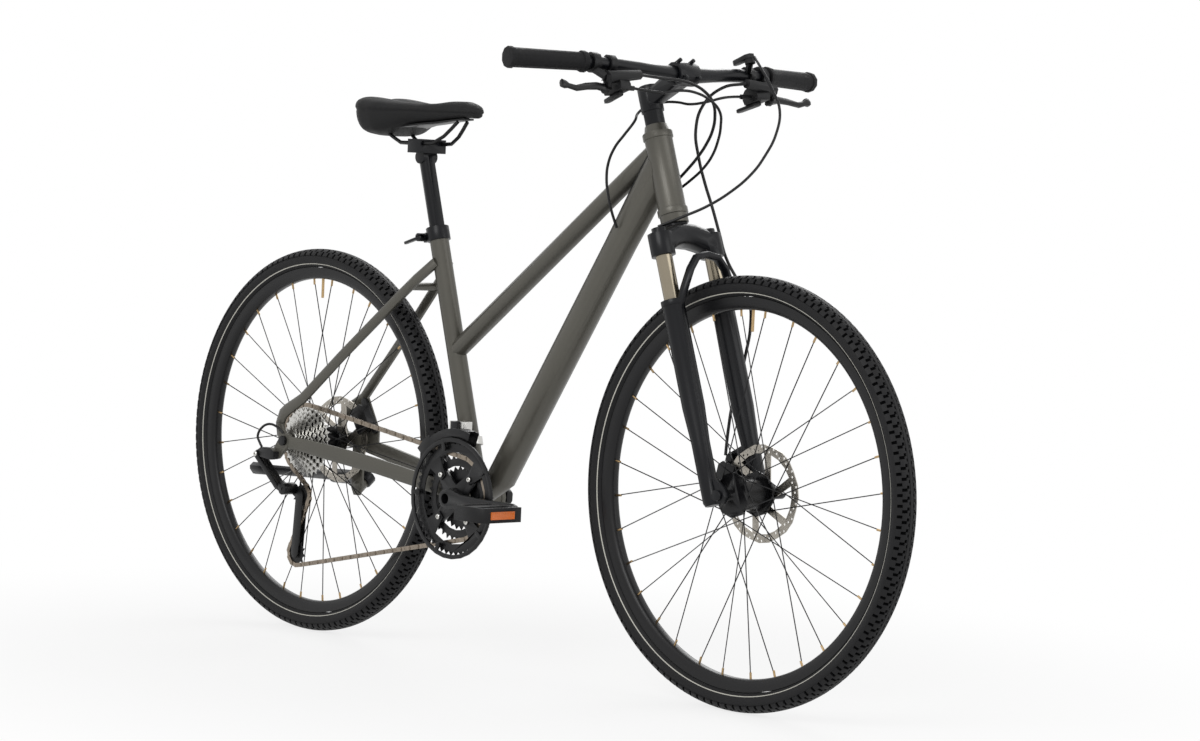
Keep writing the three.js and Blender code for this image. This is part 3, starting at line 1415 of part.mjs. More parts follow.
function leftCrank() {
  const { leftBossInner, bossThickness } = CRANK;
  const [from, to] = [leftBossInner - OVERRUN, leftBossInner + bossThickness + OVERRUN];
  return cut(crankArm(1, leftBossInner), crossRod(0, 0, from, to, BRACKET.spindleRadius + GAP, BRACKET.sides));
}

// A pedal with its axle, drawn with the crank's end at the origin. The side is -1 on the drive side.
function pedal(side) {
  const inner = CRANK.endOuter + PEDAL.fromCrank;
  const outer = inner + 2 * PEDAL.halfWidth;
  const { halfLength, rail, endBar, chamfer, barrelRadius, halfHeight } = PEDAL;
  const outline = [
    [-halfLength, inner],
    [halfLength, inner],
    [halfLength, outer - chamfer],
    [halfLength - chamfer, outer],
    [chamfer - halfLength, outer],
    [-halfLength, outer - chamfer],
  ];
  const windows = [-1, 1].map((end) => [
    [end * barrelRadius, inner + endBar],
    [end * (halfLength - rail), inner + endBar],
    [end * (halfLength - rail), outer - endBar],
    [end * barrelRadius, outer - endBar],
  ]);
  const onSide = (list) => list.map(([x, y]) => [x, side * y]);
  const deep = halfHeight + OVERRUN;
  const openings = windows.map((window) => plate(onSide(window), [], -deep, deep));
  const frame = laidFlat(cut(plate(onSide(outline), [], -halfHeight, halfHeight), openings));
  return join(frame, crossRod(0, 0, side * CRANK.endInner, side * (outer - endBar), CRANK.pedalAxleRadius, AXLE.sides));
}

function cassette() {
  const bore = AXLE.radius + GAP;
  const end = REAR_HUB.halfSpacing - AXLE.locknutLength - 2 * GAP;
  const body = crossRod(0, 0, -end, -cassetteInner, CASSETTE.bodyRadius, AXLE.sides);
  const cogs = CASSETTE.teeth.map((teeth, i) => {
    const from = -CASSETTE.firstAt - i * CASSETTE.spacing - TOOTH.halfThickness;
    const outline = i ? pointed(teeth, i * CASSETTE.twist) : toothed(teeth, phases[1]);
    return plate(outline, [], from, from + 2 * TOOTH.halfThickness);
  });
  return cut(join(body, cogs), crossRod(0, 0, -end - OVERRUN, OVERRUN - cassetteInner, bore, AXLE.sides));
}

function pulley(phase) {
  const wheel = plate(toothed(DERAILLEUR.pulleyTeeth, phase), [], -TOOTH.halfThickness, TOOTH.halfThickness);
  const half = DERAILLEUR.cageHalfGap - GAP;
  const boss = crossRod(0, 0, -half, half, DERAILLEUR.pulleyBossRadius, 8);
  return cut(join(wheel, boss), crossRod(0, 0, -half - OVERRUN, half + OVERRUN, DERAILLEUR.boltRadius + GAP, AXLE.sides));
}

// The rear derailleur's cage, drawn round its pivot.
function derailleurCage() {
  const [guide, tension] = path.wheels.slice(2).map(({ centre }) => [centre[0] - cagePivot.x, centre[1] - cagePivot.z]);
  const { cageHalfGap, cagePlate, lobeRadius, boltRadius } = DERAILLEUR;
  const outerFrom = -cageHalfGap - cagePlate;
  const sides = [outerFrom, cageHalfGap].map((from) =>
    plate(strap([...guide, lobeRadius], [...tension, lobeRadius]), [], from, from + cagePlate),
  );
  const lobe = plate(strap([0, 0, DERAILLEUR.pivotRadius], [...guide, lobeRadius]), [], outerFrom, outerFrom + cagePlate);
  const bolts = [guide, tension].map(([x, z]) => crossRod(x, z, outerFrom, -outerFrom, boltRadius, AXLE.sides));
  const bore = crossRod(0, 0, outerFrom - OVERRUN, 0, DERAILLEUR.linkPin + GAP, AXLE.sides);
  return cut(join(sides, lobe, bolts), bore);
}

// Drawn round its upper pin.
function derailleurLinks() {
  const length = linkSpan.length();
  const outline = strap([0, 0, DERAILLEUR.linkRadius], [length, 0, DERAILLEUR.linkRadius]);
  const holes = [0, length].map((x) => circle(DERAILLEUR.linkPin + GAP, AXLE.sides, x, 0));
  const link = plate(outline, holes, -DERAILLEUR.linkHalf, DERAILLEUR.linkHalf);
  return placed(link, ORIGIN, linkSpan.clone().normalize(), linkAxis);
}

// The lower knuckle, drawn round the link's lower pin.
function derailleurKnuckle() {
  const { cageHalfGap, cagePlate, pivotRadius, pivotLength, linkHalf } = DERAILLEUR;
  const pivot = cagePivot.clone().sub(linkFoot);
  const cageFrom = pivot.y - cageHalfGap - cagePlate;
  const body = crossRod(pivot.x, pivot.z, cageFrom - GAP - pivotLength, cageFrom - GAP, pivotRadius, AXLE.sides);
  const pin = crossRod(pivot.x, pivot.z, cageFrom - 2 * GAP, cageFrom + cagePlate, DERAILLEUR.linkPin, AXLE.sides);
  const neckEnd = linkAxis.clone().multiplyScalar(linkHalf + GAP);
  const neck = rod(neckEnd, point(pivot.x, 0, pivot.z), DERAILLEUR.linkRadius, AXLE.sides);
  return join(cut(join(body, neck), linkRoom(ORIGIN)), pin, linkPin(ORIGIN));
}

// Seat

// Where the saddle's rails run, from the seatpost's top.
function saddleRail(radius) {
  const { railHalfGap, railAbove, ahead, length, skirt, railShares } = SADDLE;
  const points = railShares.map(([along, out, up]) =>
    point(ahead - along * length, out * railHalfGap, railAbove + up * skirt),
  );
  const shares = [0, 0.1, 0.2, 0.335, 0.43, 0.65, 0.78, 0.89, 1];
  return sweep(smooth(points), shares, () => [radius, radius], AXIS_Y, 6);
}

function seatpost() {
  const { headHalf, headRadius, clampHalfLength, clampHalfWidth, clampBottom, sides } = SEATPOST;
  const post = rod(onSeatTube(SEAT_TUBE.length - SEATPOST.insertion), seatTop, SEATPOST.radius, sides);
  const head = crossRod(seatTop.x, seatTop.z, -headHalf, headHalf, headRadius, sides);
  const clamp = block(
    point(-clampHalfLength, -clampHalfWidth, clampBottom),
    point(clampHalfLength, clampHalfWidth, SADDLE.railAbove + 2 * SADDLE.railRadius),
  );
  const groove = saddleRail(SADDLE.railRadius + GAP);
  const cradle = cut(clamp, groove, mirrored(groove));
  return join(post, head, cradle.translate(seatTop.x, seatTop.y, seatTop.z));
}

// A saddle section. The top is crowned with a shallow channel, and the sides draw in below.
function saddleRing([along, widthShare, rise, skirtShare]) {
  const { ahead, length, crown, topAbove, upperShare, sides } = SADDLE;
  const halfWidth = SADDLE.halfWidth * widthShare;
  const depth = SADDLE.skirt * skirtShare;
  const middle = topAbove + rise * crown - depth * upperShare;
  return Array.from({ length: sides }, (_, i) => {
    const [c, s] = polar(1, (TURN * (i + 0.5)) / sides);
    const side = Math.sign(c) * Math.abs(c) ** 0.8 * halfWidth * (s < 0 ? 0.93 : 1);
    const channel = Math.abs(c) < 0.25 ? along * crown * 0.5 : 0;
    const above = Math.abs(s) ** 0.75 * depth * upperShare - channel;
    const below = Math.abs(s) ** 0.5 * depth * (1 - upperShare);
    return point(ahead - along * length, side, s > 0 ? middle + above : middle - below);
  });
}

const saddleCover = () => loft(SADDLE.sectionShares.map(saddleRing));

// The shell under the cover, with its two rails.
function saddleBase() {
  const rings = SADDLE.sectionShares.slice(2, -1).map(([along, widthShare, rise, skirtShare]) => {
    const x = SADDLE.ahead - along * SADDLE.length;
    const top = SADDLE.topAbove + rise * SADDLE.crown - SADDLE.skirt * skirtShare - GAP;
    const half = SADDLE.halfWidth * widthShare * SADDLE.baseShare;
    const bottom = top - SADDLE.baseThickness;
    return [point(x, half, top), point(x, -half, top), point(x, -half, bottom), point(x, half, bottom)];
  });
  const left = saddleRail(SADDLE.railRadius);
  return join(loft(rings), left, mirrored(left));
}

// Fork, stem and handlebar, drawn in the steering frame: X forward, Z up the steering axis

function forkCrown() {
  const { stanchionAhead, halfSpacing, crownBottom, crownTop, crownCentreAhead, crownCentreHeight, sides } = FORK;
  const legMiddle = (crownBottom + crownTop) / 2;
  const kneeAhead = between(stanchionAhead, crownCentreAhead, 0.6);
  const kneeHeight = between(legMiddle, crownCentreHeight, 0.75);
  const curve = smooth([
    point(stanchionAhead, -halfSpacing, legMiddle),
    point(kneeAhead, -halfSpacing / 2, kneeHeight),
    point(crownCentreAhead, 0, crownCentreHeight),
    point(kneeAhead, halfSpacing / 2, kneeHeight),
    point(stanchionAhead, halfSpacing, legMiddle),
  ]);
  const sizeAt = (share) => {
    const inward = 1 - Math.abs(2 * share - 1);
    return [
      between(FORK.bossRadius, FORK.crownHalfDepth, inward),
      between((crownTop - crownBottom) / 2, FORK.crownHalfHeight, inward),
    ];
  };
  const bridge = sweep(curve, evenly(6), sizeAt, AXIS_X, 10, 2.6);
  const upright = (side, from, to, radius, count) =>
    rod(point(stanchionAhead, side, from), point(stanchionAhead, side, to), radius, count);
  const legs = [-halfSpacing, halfSpacing].flatMap((side) => [
    upright(side, crownBottom, crownTop, FORK.bossRadius, sides),
    upright(side, FORK.legTop - FORK.stanchionInsertion, crownTop, FORK.stanchionRadius, sides),
    upright(side, crownTop - GAP, crownTop + FORK.capHeight, FORK.capRadius, AXLE.sides),
  ]);
  const root = point(0, 0, crownCentreHeight);
  const race = rod(root, point(0, 0, FORK.crownRaceHeight), FORK.raceRadius, sides);
  const steerer = rod(root, point(0, 0, stemTop - STEM.capHeight), FORK.steererRadius, sides);
  return join(bridge, legs, race, steerer);
}

function forkLowers() {
  const { stanchionAhead, halfSpacing, legTop, legBottom, legRadius, lowerRadius, spareBore, sides } = FORK;
  const bore = FORK.stanchionRadius + GAP;
  const boreBottom = legTop - FORK.stanchionInsertion - FORK.travel - spareBore;
  const profile = [
    [0, legBottom],
    [lowerRadius - spareBore / 2, legBottom],
    [lowerRadius, legBottom + spareBore],
    [lowerRadius, FORK.taperBottom],
    [legRadius, FORK.taperTop],
    [legRadius, legTop - FORK.sealHeight],
    [FORK.sealRadius, legTop - FORK.sealHeight],
    [FORK.sealRadius, legTop],
    [bore, legTop],
    [bore, boreBottom],
    [0, boreBottom],
  ];
  const leg = moved(turnedOnZ(profile, sides), stanchionAhead, halfSpacing, 0);
  const footOutline = strap([stanchionAhead, FORK.footHeight, FORK.footRadius], [FORK.offset, 0, FORK.footRadius]);
  const foot = plate(footOutline, [], FRONT_HUB.halfSpacing, frontOuter);
  const [upper, lower] = earsOf(CALIPER.frontAngle).map(([x, z]) => [FORK.offset + x, z]);
  const mountAt = FRONT_HUB.rotorAt + CALIPER.halfWidth + GAP;
  const reach = CALIPER.earRadius;
  const mount = plate(
    [
      [stanchionAhead, lower[1] - 2 * reach],
      [stanchionAhead, upper[1] + 2 * reach],
      [upper[0] - reach, upper[1] + reach],
      [lower[0] - reach, lower[1] + reach],
      [lower[0] - reach / 2, lower[1] - reach],
    ],
    [],
    mountAt,
    mountAt + CALIPER.mountThickness,
  );
  const archX = stanchionAhead + FORK.archAhead;
  const kneeX = between(stanchionAhead, archX, 0.8);
  const kneeZ = between(FORK.archRoot, FORK.archTop, 0.5);
  const shoulderZ = between(FORK.archRoot, FORK.archTop, 0.93);
  const halfArch = [
    point(stanchionAhead + legRadius / 3, halfSpacing, FORK.archRoot),
    point(kneeX, halfSpacing * 0.87, kneeZ),
    point(archX, halfSpacing * 0.45, shoulderZ),
  ];
  const arch = smooth([...halfArch, point(archX, 0, FORK.archTop), ...halfArch.map(acrossFrom).reverse()]);
  const bridge = sweep(arch, evenly(10), () => [FORK.archHalfWidth, FORK.archHalfDepth], AXIS_X, 8, 2.6);
  const above = legTop + 2 * FORK.travel;
  const boreCut = rod(point(stanchionAhead, halfSpacing, boreBottom), point(stanchionAhead, halfSpacing, above), bore, sides);
  const axle = join(axleSet(FRONT_HUB, frontOuter)).translate(FORK.offset, 0, 0);
  const solid = join(leg, mirrored(leg), foot, mirrored(foot), mount, bridge, axle);
  return cut(solid, boreCut, mirrored(boreCut));
}

// The same spot on the other side of the bicycle.
function acrossFrom(spot) {
  return point(spot.x, -spot.y, spot.z);
}

// The handlebar's centre line runs from the rider's left to the drive side.
const barClamp = point(STEM.reach, 0, stemTop - STEM.clampHeight / 2 + STEM.rise);
const rightHalfBar = BAR.pathShares.map(([side, back, up]) =>
  point(barClamp.x - back * BAR.sweepBack, -side * BAR.halfWidth, barClamp.z + up * BAR.rise),
);
const barCurve = smooth([...rightHalfBar.map(acrossFrom).reverse(), barClamp, ...rightHalfBar]);
const barStations = [...BAR.stationShares, ...BAR.stationShares.map((share) => 1 - share).reverse()];

// The share along the bar at a side distance.
function barShare(side) {
  let [low, high] = [0, 1];
  for (let i = 0; i < 40; i++) {
    const middle = (low + high) / 2;
    if (barCurve.getPointAt(middle).y > side) low = middle;
    else high = middle;
  }
  return low;
}

function handlebar() {
  const sizeAt = (share) => {
    const out = Math.abs(2 * share - 1);
    const late = Math.min(1, Math.max(0, (out - BAR.bulgeShare) / (BAR.taperShare - BAR.bulgeShare)));
    const radius = between(BAR.centreRadius, BAR.radius, late);
    return [radius, radius];
  };
  return sweep(barCurve, [BAR.endShare, ...barStations, 1 - BAR.endShare], sizeAt, AXIS_Z, BAR.sides);
}

// The room that anything fitted round the bar leaves for it.
const barRoom = () => sweep(barCurve, [0, ...barStations, 1], () => [BAR.radius + GAP, BAR.radius + GAP], AXIS_Z, BAR.sides);

// The distance from the middle to the grip.
const gripAt = BAR.halfWidth - GRIP.length;

function clampOnBar(fromGrip, half, radius) {
  const at = gripAt - fromGrip;
  const [from, to] = [barCurve.getPointAt(barShare(half - at)), barCurve.getPointAt(barShare(-half - at))];
  return rod(from, to, radius, BAR.sides);
}

function rightGrip() {
  const start = barShare(GRIP.length - BAR.halfWidth);
  const along = evenly(6).map((share) => barCurve.getPointAt(between(start, 1, share)));
  const end = along.at(-1).clone().addScaledVector(barCurve.getTangentAt(1), GRIP.capThickness);
  const ringShare = GRIP.endLength / GRIP.length;
  const radiusAt = (share) => {
    if (share < ringShare || share > 1 - ringShare) return GRIP.endRadius;
    return between(GRIP.waistRadius, GRIP.radius, (share - ringShare) / (1 - 2 * ringShare));
  };
  const step = ringShare / 50;
  const shares = [0, ringShare - step, ringShare + step, 0.35, 0.65, 1 - ringShare - step, 1 - ringShare + step, 1];
  const grip = sweep(smooth([...along, end]), shares, (share) => [radiusAt(share), radiusAt(share)], AXIS_Z, GRIP.sides);
  return cut(grip, barRoom());
}

function stem() {
  const { clampRadius, barClampRadius, barClampHalf, armHalfHeight, armHalfWidth, split, boltRadius } = STEM;
  const clampBottom = stemBottom + STEM.spacerHeight;
  const upright = (from, to, radius) => rod(point(0, 0, from), point(0, 0, to), radius, FORK.sides);
  const body = [
    upright(stemBottom, clampBottom + GAP, STEM.spacerRadius),
    upright(clampBottom, stemTop, clampRadius),
    upright(stemTop - GAP, stemTop + STEM.capHeight, STEM.capRadius),
    crossRod(barClamp.x, barClamp.z, -barClampHalf, barClampHalf, barClampRadius, FORK.sides),
  ];
  const root = point(0, 0, clampBottom + STEM.clampHeight / 2);
  const along = barClamp.clone().sub(root).normalize();
  const upward = along.clone().cross(AXIS_Y).negate();
  const arm = loft([
    ellipse(root, AXIS_Y, upward, armHalfWidth, armHalfHeight, 12, 3),
    ellipse(barClamp, AXIS_Y, upward, barClampHalf * 0.92, barClampRadius * 0.9, 12, 3),
  ]);
  const bolts = [-1, 1].flatMap((up) =>
    [-1, 1].map((side) => {
      const from = barClamp.clone().addScaledVector(upward, up * STEM.boltSpread).setY(side * STEM.boltSide);
      return rod(from, from.clone().addScaledVector(along, barClampRadius), boltRadius, 6);
    }),
  );
  const bore = upright(stemBottom - OVERRUN, stemTop - STEM.capHeight + GAP, FORK.steererRadius + GAP);
  const barEnd = barClampHalf + OVERRUN;
  const barBore = crossRod(barClamp.x, barClamp.z, -barEnd, barEnd, BAR.centreRadius / Math.cos(Math.PI / FORK.sides) + GAP, FORK.sides);
  const opening = block(
    point(barClamp.x - split / 2, -barEnd, -2 * barClampRadius),
    point(barClamp.x + split / 2, barEnd, 0),
  ).translate(0, 0, barClamp.z);
  return cut(join(body, arm, bolts), bore, barBore, opening);
}

// Controls. They are drawn for the drive side and mirrored for the other.

function fromBar(fromGrip, ahead, above) {
  const spot = barCurve.getPointAt(barShare(fromGrip - gripAt));
  return point(spot.x + ahead, spot.y, spot.z + above);
}
const leverPivot = fromBar(BRAKE_LEVER.pivotAt, BRAKE_LEVER.pivotAhead, -BRAKE_LEVER.pivotBelow);
// The brake lever's pin is square to the bar and to the line from the pin up to the bar.
const leverToBar = point(-BRAKE_LEVER.pivotAhead, 0, BRAKE_LEVER.pivotBelow).normalize();
const leverAxis = leverToBar.clone().cross(AXIS_Y).negate();
const podCentre = fromBar(SHIFTER.clampAt, SHIFTER.podAhead, -SHIFTER.podBelow);
const shiftPin = podCentre.clone().setZ(podCentre.z - SHIFTER.podRadius * 0.4);

function brakeBody() {
  const { clampAt, clampHalf, bodyAhead, bodyBelow, bodyRadius, bodyEndRadius, halfThickness, pivotRadius } = BRAKE_LEVER;
  const root = fromBar(clampAt, bodyAhead, -bodyBelow);
  const end = fromBar(BRAKE_LEVER.bodyEndAt, bodyAhead, -bodyBelow + bodyRadius);
  const ears = [-1, 1].map((side) => {
    const out = leverAxis.clone().multiplyScalar(side * (halfThickness + GAP + pivotRadius / 2));
    return rod(root.clone().add(out), leverPivot.clone().add(out), pivotRadius * 1.4, 6);
  });
  return [
    rod(root, end, bodyRadius, 8, bodyEndRadius),
    rod(fromBar(clampAt, 0, -BAR.radius), root, clampHalf, 6),
    ...ears,
    clampOnBar(clampAt, clampHalf, BRAKE_LEVER.clampRadius),
  ];
}

function shifterBody() {
  const { clampAt, clampHalf, podRadius, podHalf, barrelRadius, barrelLength } = SHIFTER;
  const beside = (reach) => podCentre.clone().setY(podCentre.y + reach);
  return [
    rod(beside(-podHalf), beside(podHalf), podRadius, 12, podRadius * 0.8),
    rod(fromBar(clampAt, 0, -BAR.radius), podCentre, clampHalf, 6),
    rod(beside(podHalf - GAP), beside(podHalf + barrelLength), barrelRadius, 6),
    clampOnBar(clampAt, clampHalf, SHIFTER.clampRadius),
  ];
}

function rightControls() {
  const { halfThickness, tipRadius, pivotRadius } = BRAKE_LEVER;
  const leverRoom = pinThrough(leverPivot, leverAxis, halfThickness + GAP, 2 * tipRadius, 6);
  const below = (depth) => shiftPin.clone().setZ(shiftPin.z - depth);
  const roomHalf = point(1, 1, 0).multiplyScalar(1.2 * SHIFTER.podRadius);
  const shiftRoom = block(below(2 * SHIFTER.podRadius).sub(roomHalf), below(0).add(roomHalf));
  const solid = cut(join(brakeBody(), shifterBody()), leverRoom, shiftRoom, barRoom());
  const pin = pinThrough(leverPivot, leverAxis, 2 * halfThickness, pivotRadius, AXLE.sides);
  const stub = rod(below(-SHIFTER.leverHalf), below(2 * SHIFTER.leverHalf + 2 * GAP), SHIFTER.pinRadius, AXLE.sides);
  return join(solid, pin, stub);
}

// Drawn round its pin.
function rightBrakeLever() {
  const { bladeLength, bladeWave, halfThickness, tipRadius, pivotRadius } = BRAKE_LEVER;
  const along = (share, wave) => point(0, -share * bladeLength, 0).addScaledVector(leverToBar, wave * bladeWave);
  const curve = smooth([ORIGIN, along(0.3, 1), along(0.7, -1), along(1, 1)]);
  const sizeAt = (share) => {
    if (share > 0.88) return [tipRadius * 0.7, tipRadius];
    return [between(halfThickness, halfThickness * 0.8, share), between(tipRadius, halfThickness * 0.8, share)];
  };
  const blade = sweep(curve, [0, 0.2, 0.45, 0.7, 0.87, 0.93, 1], sizeAt, leverAxis, 8, 2.4);
  const eye = pinThrough(ORIGIN, leverAxis, halfThickness, tipRadius, AXLE.sides);
  return cut(join(blade, eye), pinThrough(ORIGIN, leverAxis, 2 * halfThickness, pivotRadius + GAP, AXLE.sides));
}

// Drawn round its pin, flat under the pod and reaching back to the rider's thumb.
function rightShiftLever() {
  const { leverLength, leverRadius, leverHalf, pinRadius } = SHIFTER;
  const outline = strap([0, 0, leverRadius * 1.2], [-leverLength, leverRadius, leverRadius]);
  return laidFlat(plate(outline, [circle(pinRadius + GAP, AXLE.sides)], -leverHalf, leverHalf));
}

const lockoutPost = fromBar(LOCKOUT.clampAt, LOCKOUT.ahead, LOCKOUT.above);
function leftControls() {
  const { clampAt, postRadius, half } = LOCKOUT;
  const above = (height) => lockoutPost.clone().setZ(lockoutPost.z + height);
  const remote = join(
    rod(fromBar(clampAt, BAR.radius, 0), above(-half), SHIFTER.clampHalf, 6),
    rod(above(-2 * half), above(0), postRadius, AXLE.sides),
    rod(above(-half), above(2 * half + GAP), SHIFTER.pinRadius, AXLE.sides),
  );
  return mirrored(join(rightControls(), cut(remote, barRoom())));
}

function lockoutLever() {
  const { leverLength, leverRadius, half, postRadius } = LOCKOUT;
  const outline = strap([0, 0, postRadius], [-leverLength, 0, leverRadius]);
  return laidFlat(plate(outline, [circle(SHIFTER.pinRadius + GAP, AXLE.sides)], -half, half));
}

// Cables. Those at the front are drawn in the steering frame.

function cable(from, to, bends, radius, steps) {
  const spots = bends.map(([share, ahead, left, above]) => from.clone().lerp(to, share).add(point(ahead, left, above)));
  const section = new THREE.Shape(circle(radius, CABLE.sides).map(([x, y]) => new THREE.Vector2(x, y)));
  const extrudePath = smooth([from, ...spots, to]);
  return closed(new THREE.ExtrudeGeometry(section, { steps, bevelEnabled: false, extrudePath }));
}

// Where the cables enter the down tube, on one side of it.
function downTubePort(side, further) {
  const spot = downTubeTop.clone().addScaledVector(downTubeAlong, -CABLE.behindHead - further).sub(steerFoot);
  const out = side * (DOWN_TUBE.radius + CABLE.hoseRadius + GAP);
  return point(spot.dot(steerAhead), out, spot.dot(steerUp));
}
const leverEnd = () => {
  const { bodyEndAt, bodyAhead, bodyBelow, bodyRadius } = BRAKE_LEVER;
  return fromBar(bodyEndAt + 2 * GAP, bodyAhead, bodyRadius - bodyBelow);
};
const barrelEnd = () => {
  const out = SHIFTER.podHalf + SHIFTER.barrelLength + 2 * GAP;
  return podCentre.clone().setY(podCentre.y + out);
};

function frontBrakeHose() {
  const [upper] = earsOf(CALIPER.frontAngle);
  const reach = CALIPER.outerRadius + CABLE.hoseRadius + GAP;
  const [x, z] = polar(reach, Math.atan2(upper[1], upper[0]));
  return cable(acrossFrom(leverEnd()), point(FORK.offset + x, FRONT_HUB.rotorAt, z), CABLE.frontHose, CABLE.hoseRadius, 16);
}
const rearBrakeHose = () => cable(leverEnd(), downTubePort(1, 0), CABLE.rearHose, CABLE.hoseRadius, 14);
const rearShiftCable = () => cable(barrelEnd(), downTubePort(1, CABLE.portSpacing), CABLE.rightShift, CABLE.shiftRadius, 14);
const frontShiftCable = () =>
  cable(acrossFrom(barrelEnd()), downTubePort(-1, CABLE.rearPortFurther), CABLE.leftShift, CABLE.shiftRadius, 16);
function lockoutCable() {
  const cap = point(FORK.stanchionAhead, -FORK.halfSpacing, FORK.crownTop + FORK.capHeight + GAP + CABLE.shiftRadius);
  const from = acrossFrom(lockoutPost);
  from.x += LOCKOUT.postRadius + 2 * GAP + CABLE.shiftRadius;
  return cable(from, cap, CABLE.lockout, CABLE.shiftRadius, 10);
}
// The short loop from the chainstay's end to the rear derailleur, in the bicycle's frame.
function rearShiftLoop() {
  const out = DERAILLEUR.upperOut + DERAILLEUR.knuckleThickness / 2 + CABLE.shiftRadius + GAP;
  const dropoutOut = REAR_HUB.halfSpacing + DROPOUT.thickness + CABLE.shiftRadius + GAP;
  const from = point(rearAxle.x, -dropoutOut, rearAxle.z + DROPOUT.bossRadius);
  const to = point(linkTop.x + 2 * DERAILLEUR.linkRadius, -out, linkTop.z + CABLE.loopEndShare * DERAILLEUR.linkRadius);
  return cable(from, to, CABLE.rearLoop, CABLE.shiftRadius, 9);
}

// Kickstand, drawn round its pivot and folded back

function kickstandLeg() {
  const { housingHalf, housingRadius, housingLength, length, drop, rootHalfHeight, tipHalfHeight, tipHalfWidth } = KICKSTAND;
  const inward = standAxis.clone();
  const down = standAxis.clone().cross(AXIS_X);
  const along = (distance) => point(-distance, 0, 0).addScaledVector(down, (drop * distance) / length);
  const ring = (distance, halfWidth, halfHeight) =>
    ellipse(along(distance), inward, down, halfWidth, halfHeight, 8, 3);
  const housing = loft([
    ring(0, housingHalf - GAP, rootHalfHeight),
    ring(housingLength, housingHalf - GAP, rootHalfHeight),
  ]);
  const leg = loft([ring(housingLength / 2, tipHalfWidth, tipHalfHeight), ring(length, tipHalfWidth, tipHalfHeight)]);
  const foot = loft([
    ring(length - KICKSTAND.footLength, tipHalfWidth * 1.4, KICKSTAND.footRadius),
    ring(length, tipHalfWidth * 1.6, KICKSTAND.footRadius),
  ]);
  const eye = pinThrough(ORIGIN, standAxis, housingHalf, housingRadius, AXLE.sides);
  const bore = pinThrough(ORIGIN, standAxis, 2 * housingHalf, KICKSTAND.boltRadius + GAP, AXLE.sides);
  return cut(join(housing, leg, foot, eye), bore);
}

// Assembly

const finish = (color, roughness, metalness) => new THREE.MeshStandardMaterial({ color, roughness, metalness });
const GREY_PAINT = finish('#56544e', 0.55, 0.1);
const BLACK_PAINT = finish('#1b1c20', 0.4, 0.1);
const BLACK_METAL = finish('#1e1f22', 0.45, 0.6);
const RUBBER = finish('#1a1a1b', 0.85, 0);
const PLASTIC = finish('#1c1c1e', 0.6, 0);
const STEEL = finish('#9a958c', 0.35, 1);
const SILVER = finish('#c9c8c4', 0.3, 1);
const CHAIN_STEEL = finish('#8c8274', 0.4, 1);
const SADDLE_SKIN = finish('#161617', 0.6, 0);

const group = new THREE.Group();

function add(parent, name, geometry, material, at = ORIGIN) {
  const mesh = new THREE.Mesh(geometry, material);
  mesh.name = name;
  mesh.position.copy(at);
  parent.add(mesh);
}

function addGroup(parent, at, turn = 0) {
  const child = new THREE.Group();
  child.position.copy(at);
  child.rotation.y = turn;
  parent.add(child);
  return child;
}

add(group, 'head_tube', headTube(), GREY_PAINT);
add(group, 'top_tube', topTube(), GREY_PAINT);
add(group, 'down_tube', downTube(), GREY_PAINT);
add(group, 'seat_tube', seatTube(), GREY_PAINT);
add(group, 'bottom_bracket', bottomBracket(), GREY_PAINT);
add(group, 'left_chainstay', leftChainstay(), GREY_PAINT);
add(group, 'right_chainstay', rightChainstay(), GREY_PAINT);
add(group, 'seatstays', seatstays(), GREY_PAINT);
add(group, 'rear_axle', join(axleSet(REAR_HUB, rearOuter)), BLACK_METAL, rearAxle);
add(group, 'rear_brake_caliper', caliper(REAR_HUB, CALIPER.rearAngle), BLACK_METAL, rearAxle);
add(group, 'front_derailleur', frontDerailleur(), SILVER);
add(group, 'front_derailleur_cage', frontDerailleurCage(), STEEL);
add(group, 'chain', chain(), CHAIN_STEEL);
add(group, 'seatpost', seatpost(), BLACK_METAL);
add(group, 'kickstand_leg', kickstandLeg(), BLACK_PAINT, standPivot);

const saddle = addGroup(group, seatTop);
add(saddle, 'saddle_base', saddleBase(), PLASTIC);
add(saddle, 'saddle_cover', saddleCover(), SADDLE_SKIN);

const rearWheel = addGroup(group, rearAxle);
add(rearWheel, 'rear_tyre', tyre(), RUBBER);
add(rearWheel, 'rear_rim', rim(), BLACK_METAL);
add(rearWheel, 'rear_hub', rearHub(), BLACK_METAL);
add(rearWheel, 'rear_brake_rotor', rotor(REAR_HUB), STEEL);
add(rearWheel, 'cassette', cassette(), SILVER);

const cranks = addGroup(group, bracket, CRANK.angle);
add(cranks, 'right_crank', rightCrank(), BLACK_METAL);
add(cranks, 'left_crank', leftCrank().rotateY(Math.PI), BLACK_METAL);
add(cranks, 'chainrings', chainrings(), BLACK_METAL);
add(addGroup(cranks, point(CRANK.length, 0, 0), -CRANK.angle), 'right_pedal', pedal(-1), PLASTIC);
add(addGroup(cranks, point(-CRANK.length, 0, 0), -CRANK.angle), 'left_pedal', pedal(1), PLASTIC);

add(group, 'rear_derailleur_links', derailleurLinks(), BLACK_METAL, linkTop);
add(group, 'rear_derailleur_knuckle', derailleurKnuckle(), BLACK_METAL, linkFoot);
add(group, 'rear_derailleur_cage', derailleurCage(), BLACK_METAL, cagePivot);
const [guideAt, tensionAt] = path.wheels.slice(2).map(({ centre, side }) => point(centre[0], side, centre[1]));
add(group, 'guide_pulley', pulley(phases[2]), PLASTIC, guideAt);
add(group, 'tension_pulley', pulley(phases[3]), PLASTIC, tensionAt);

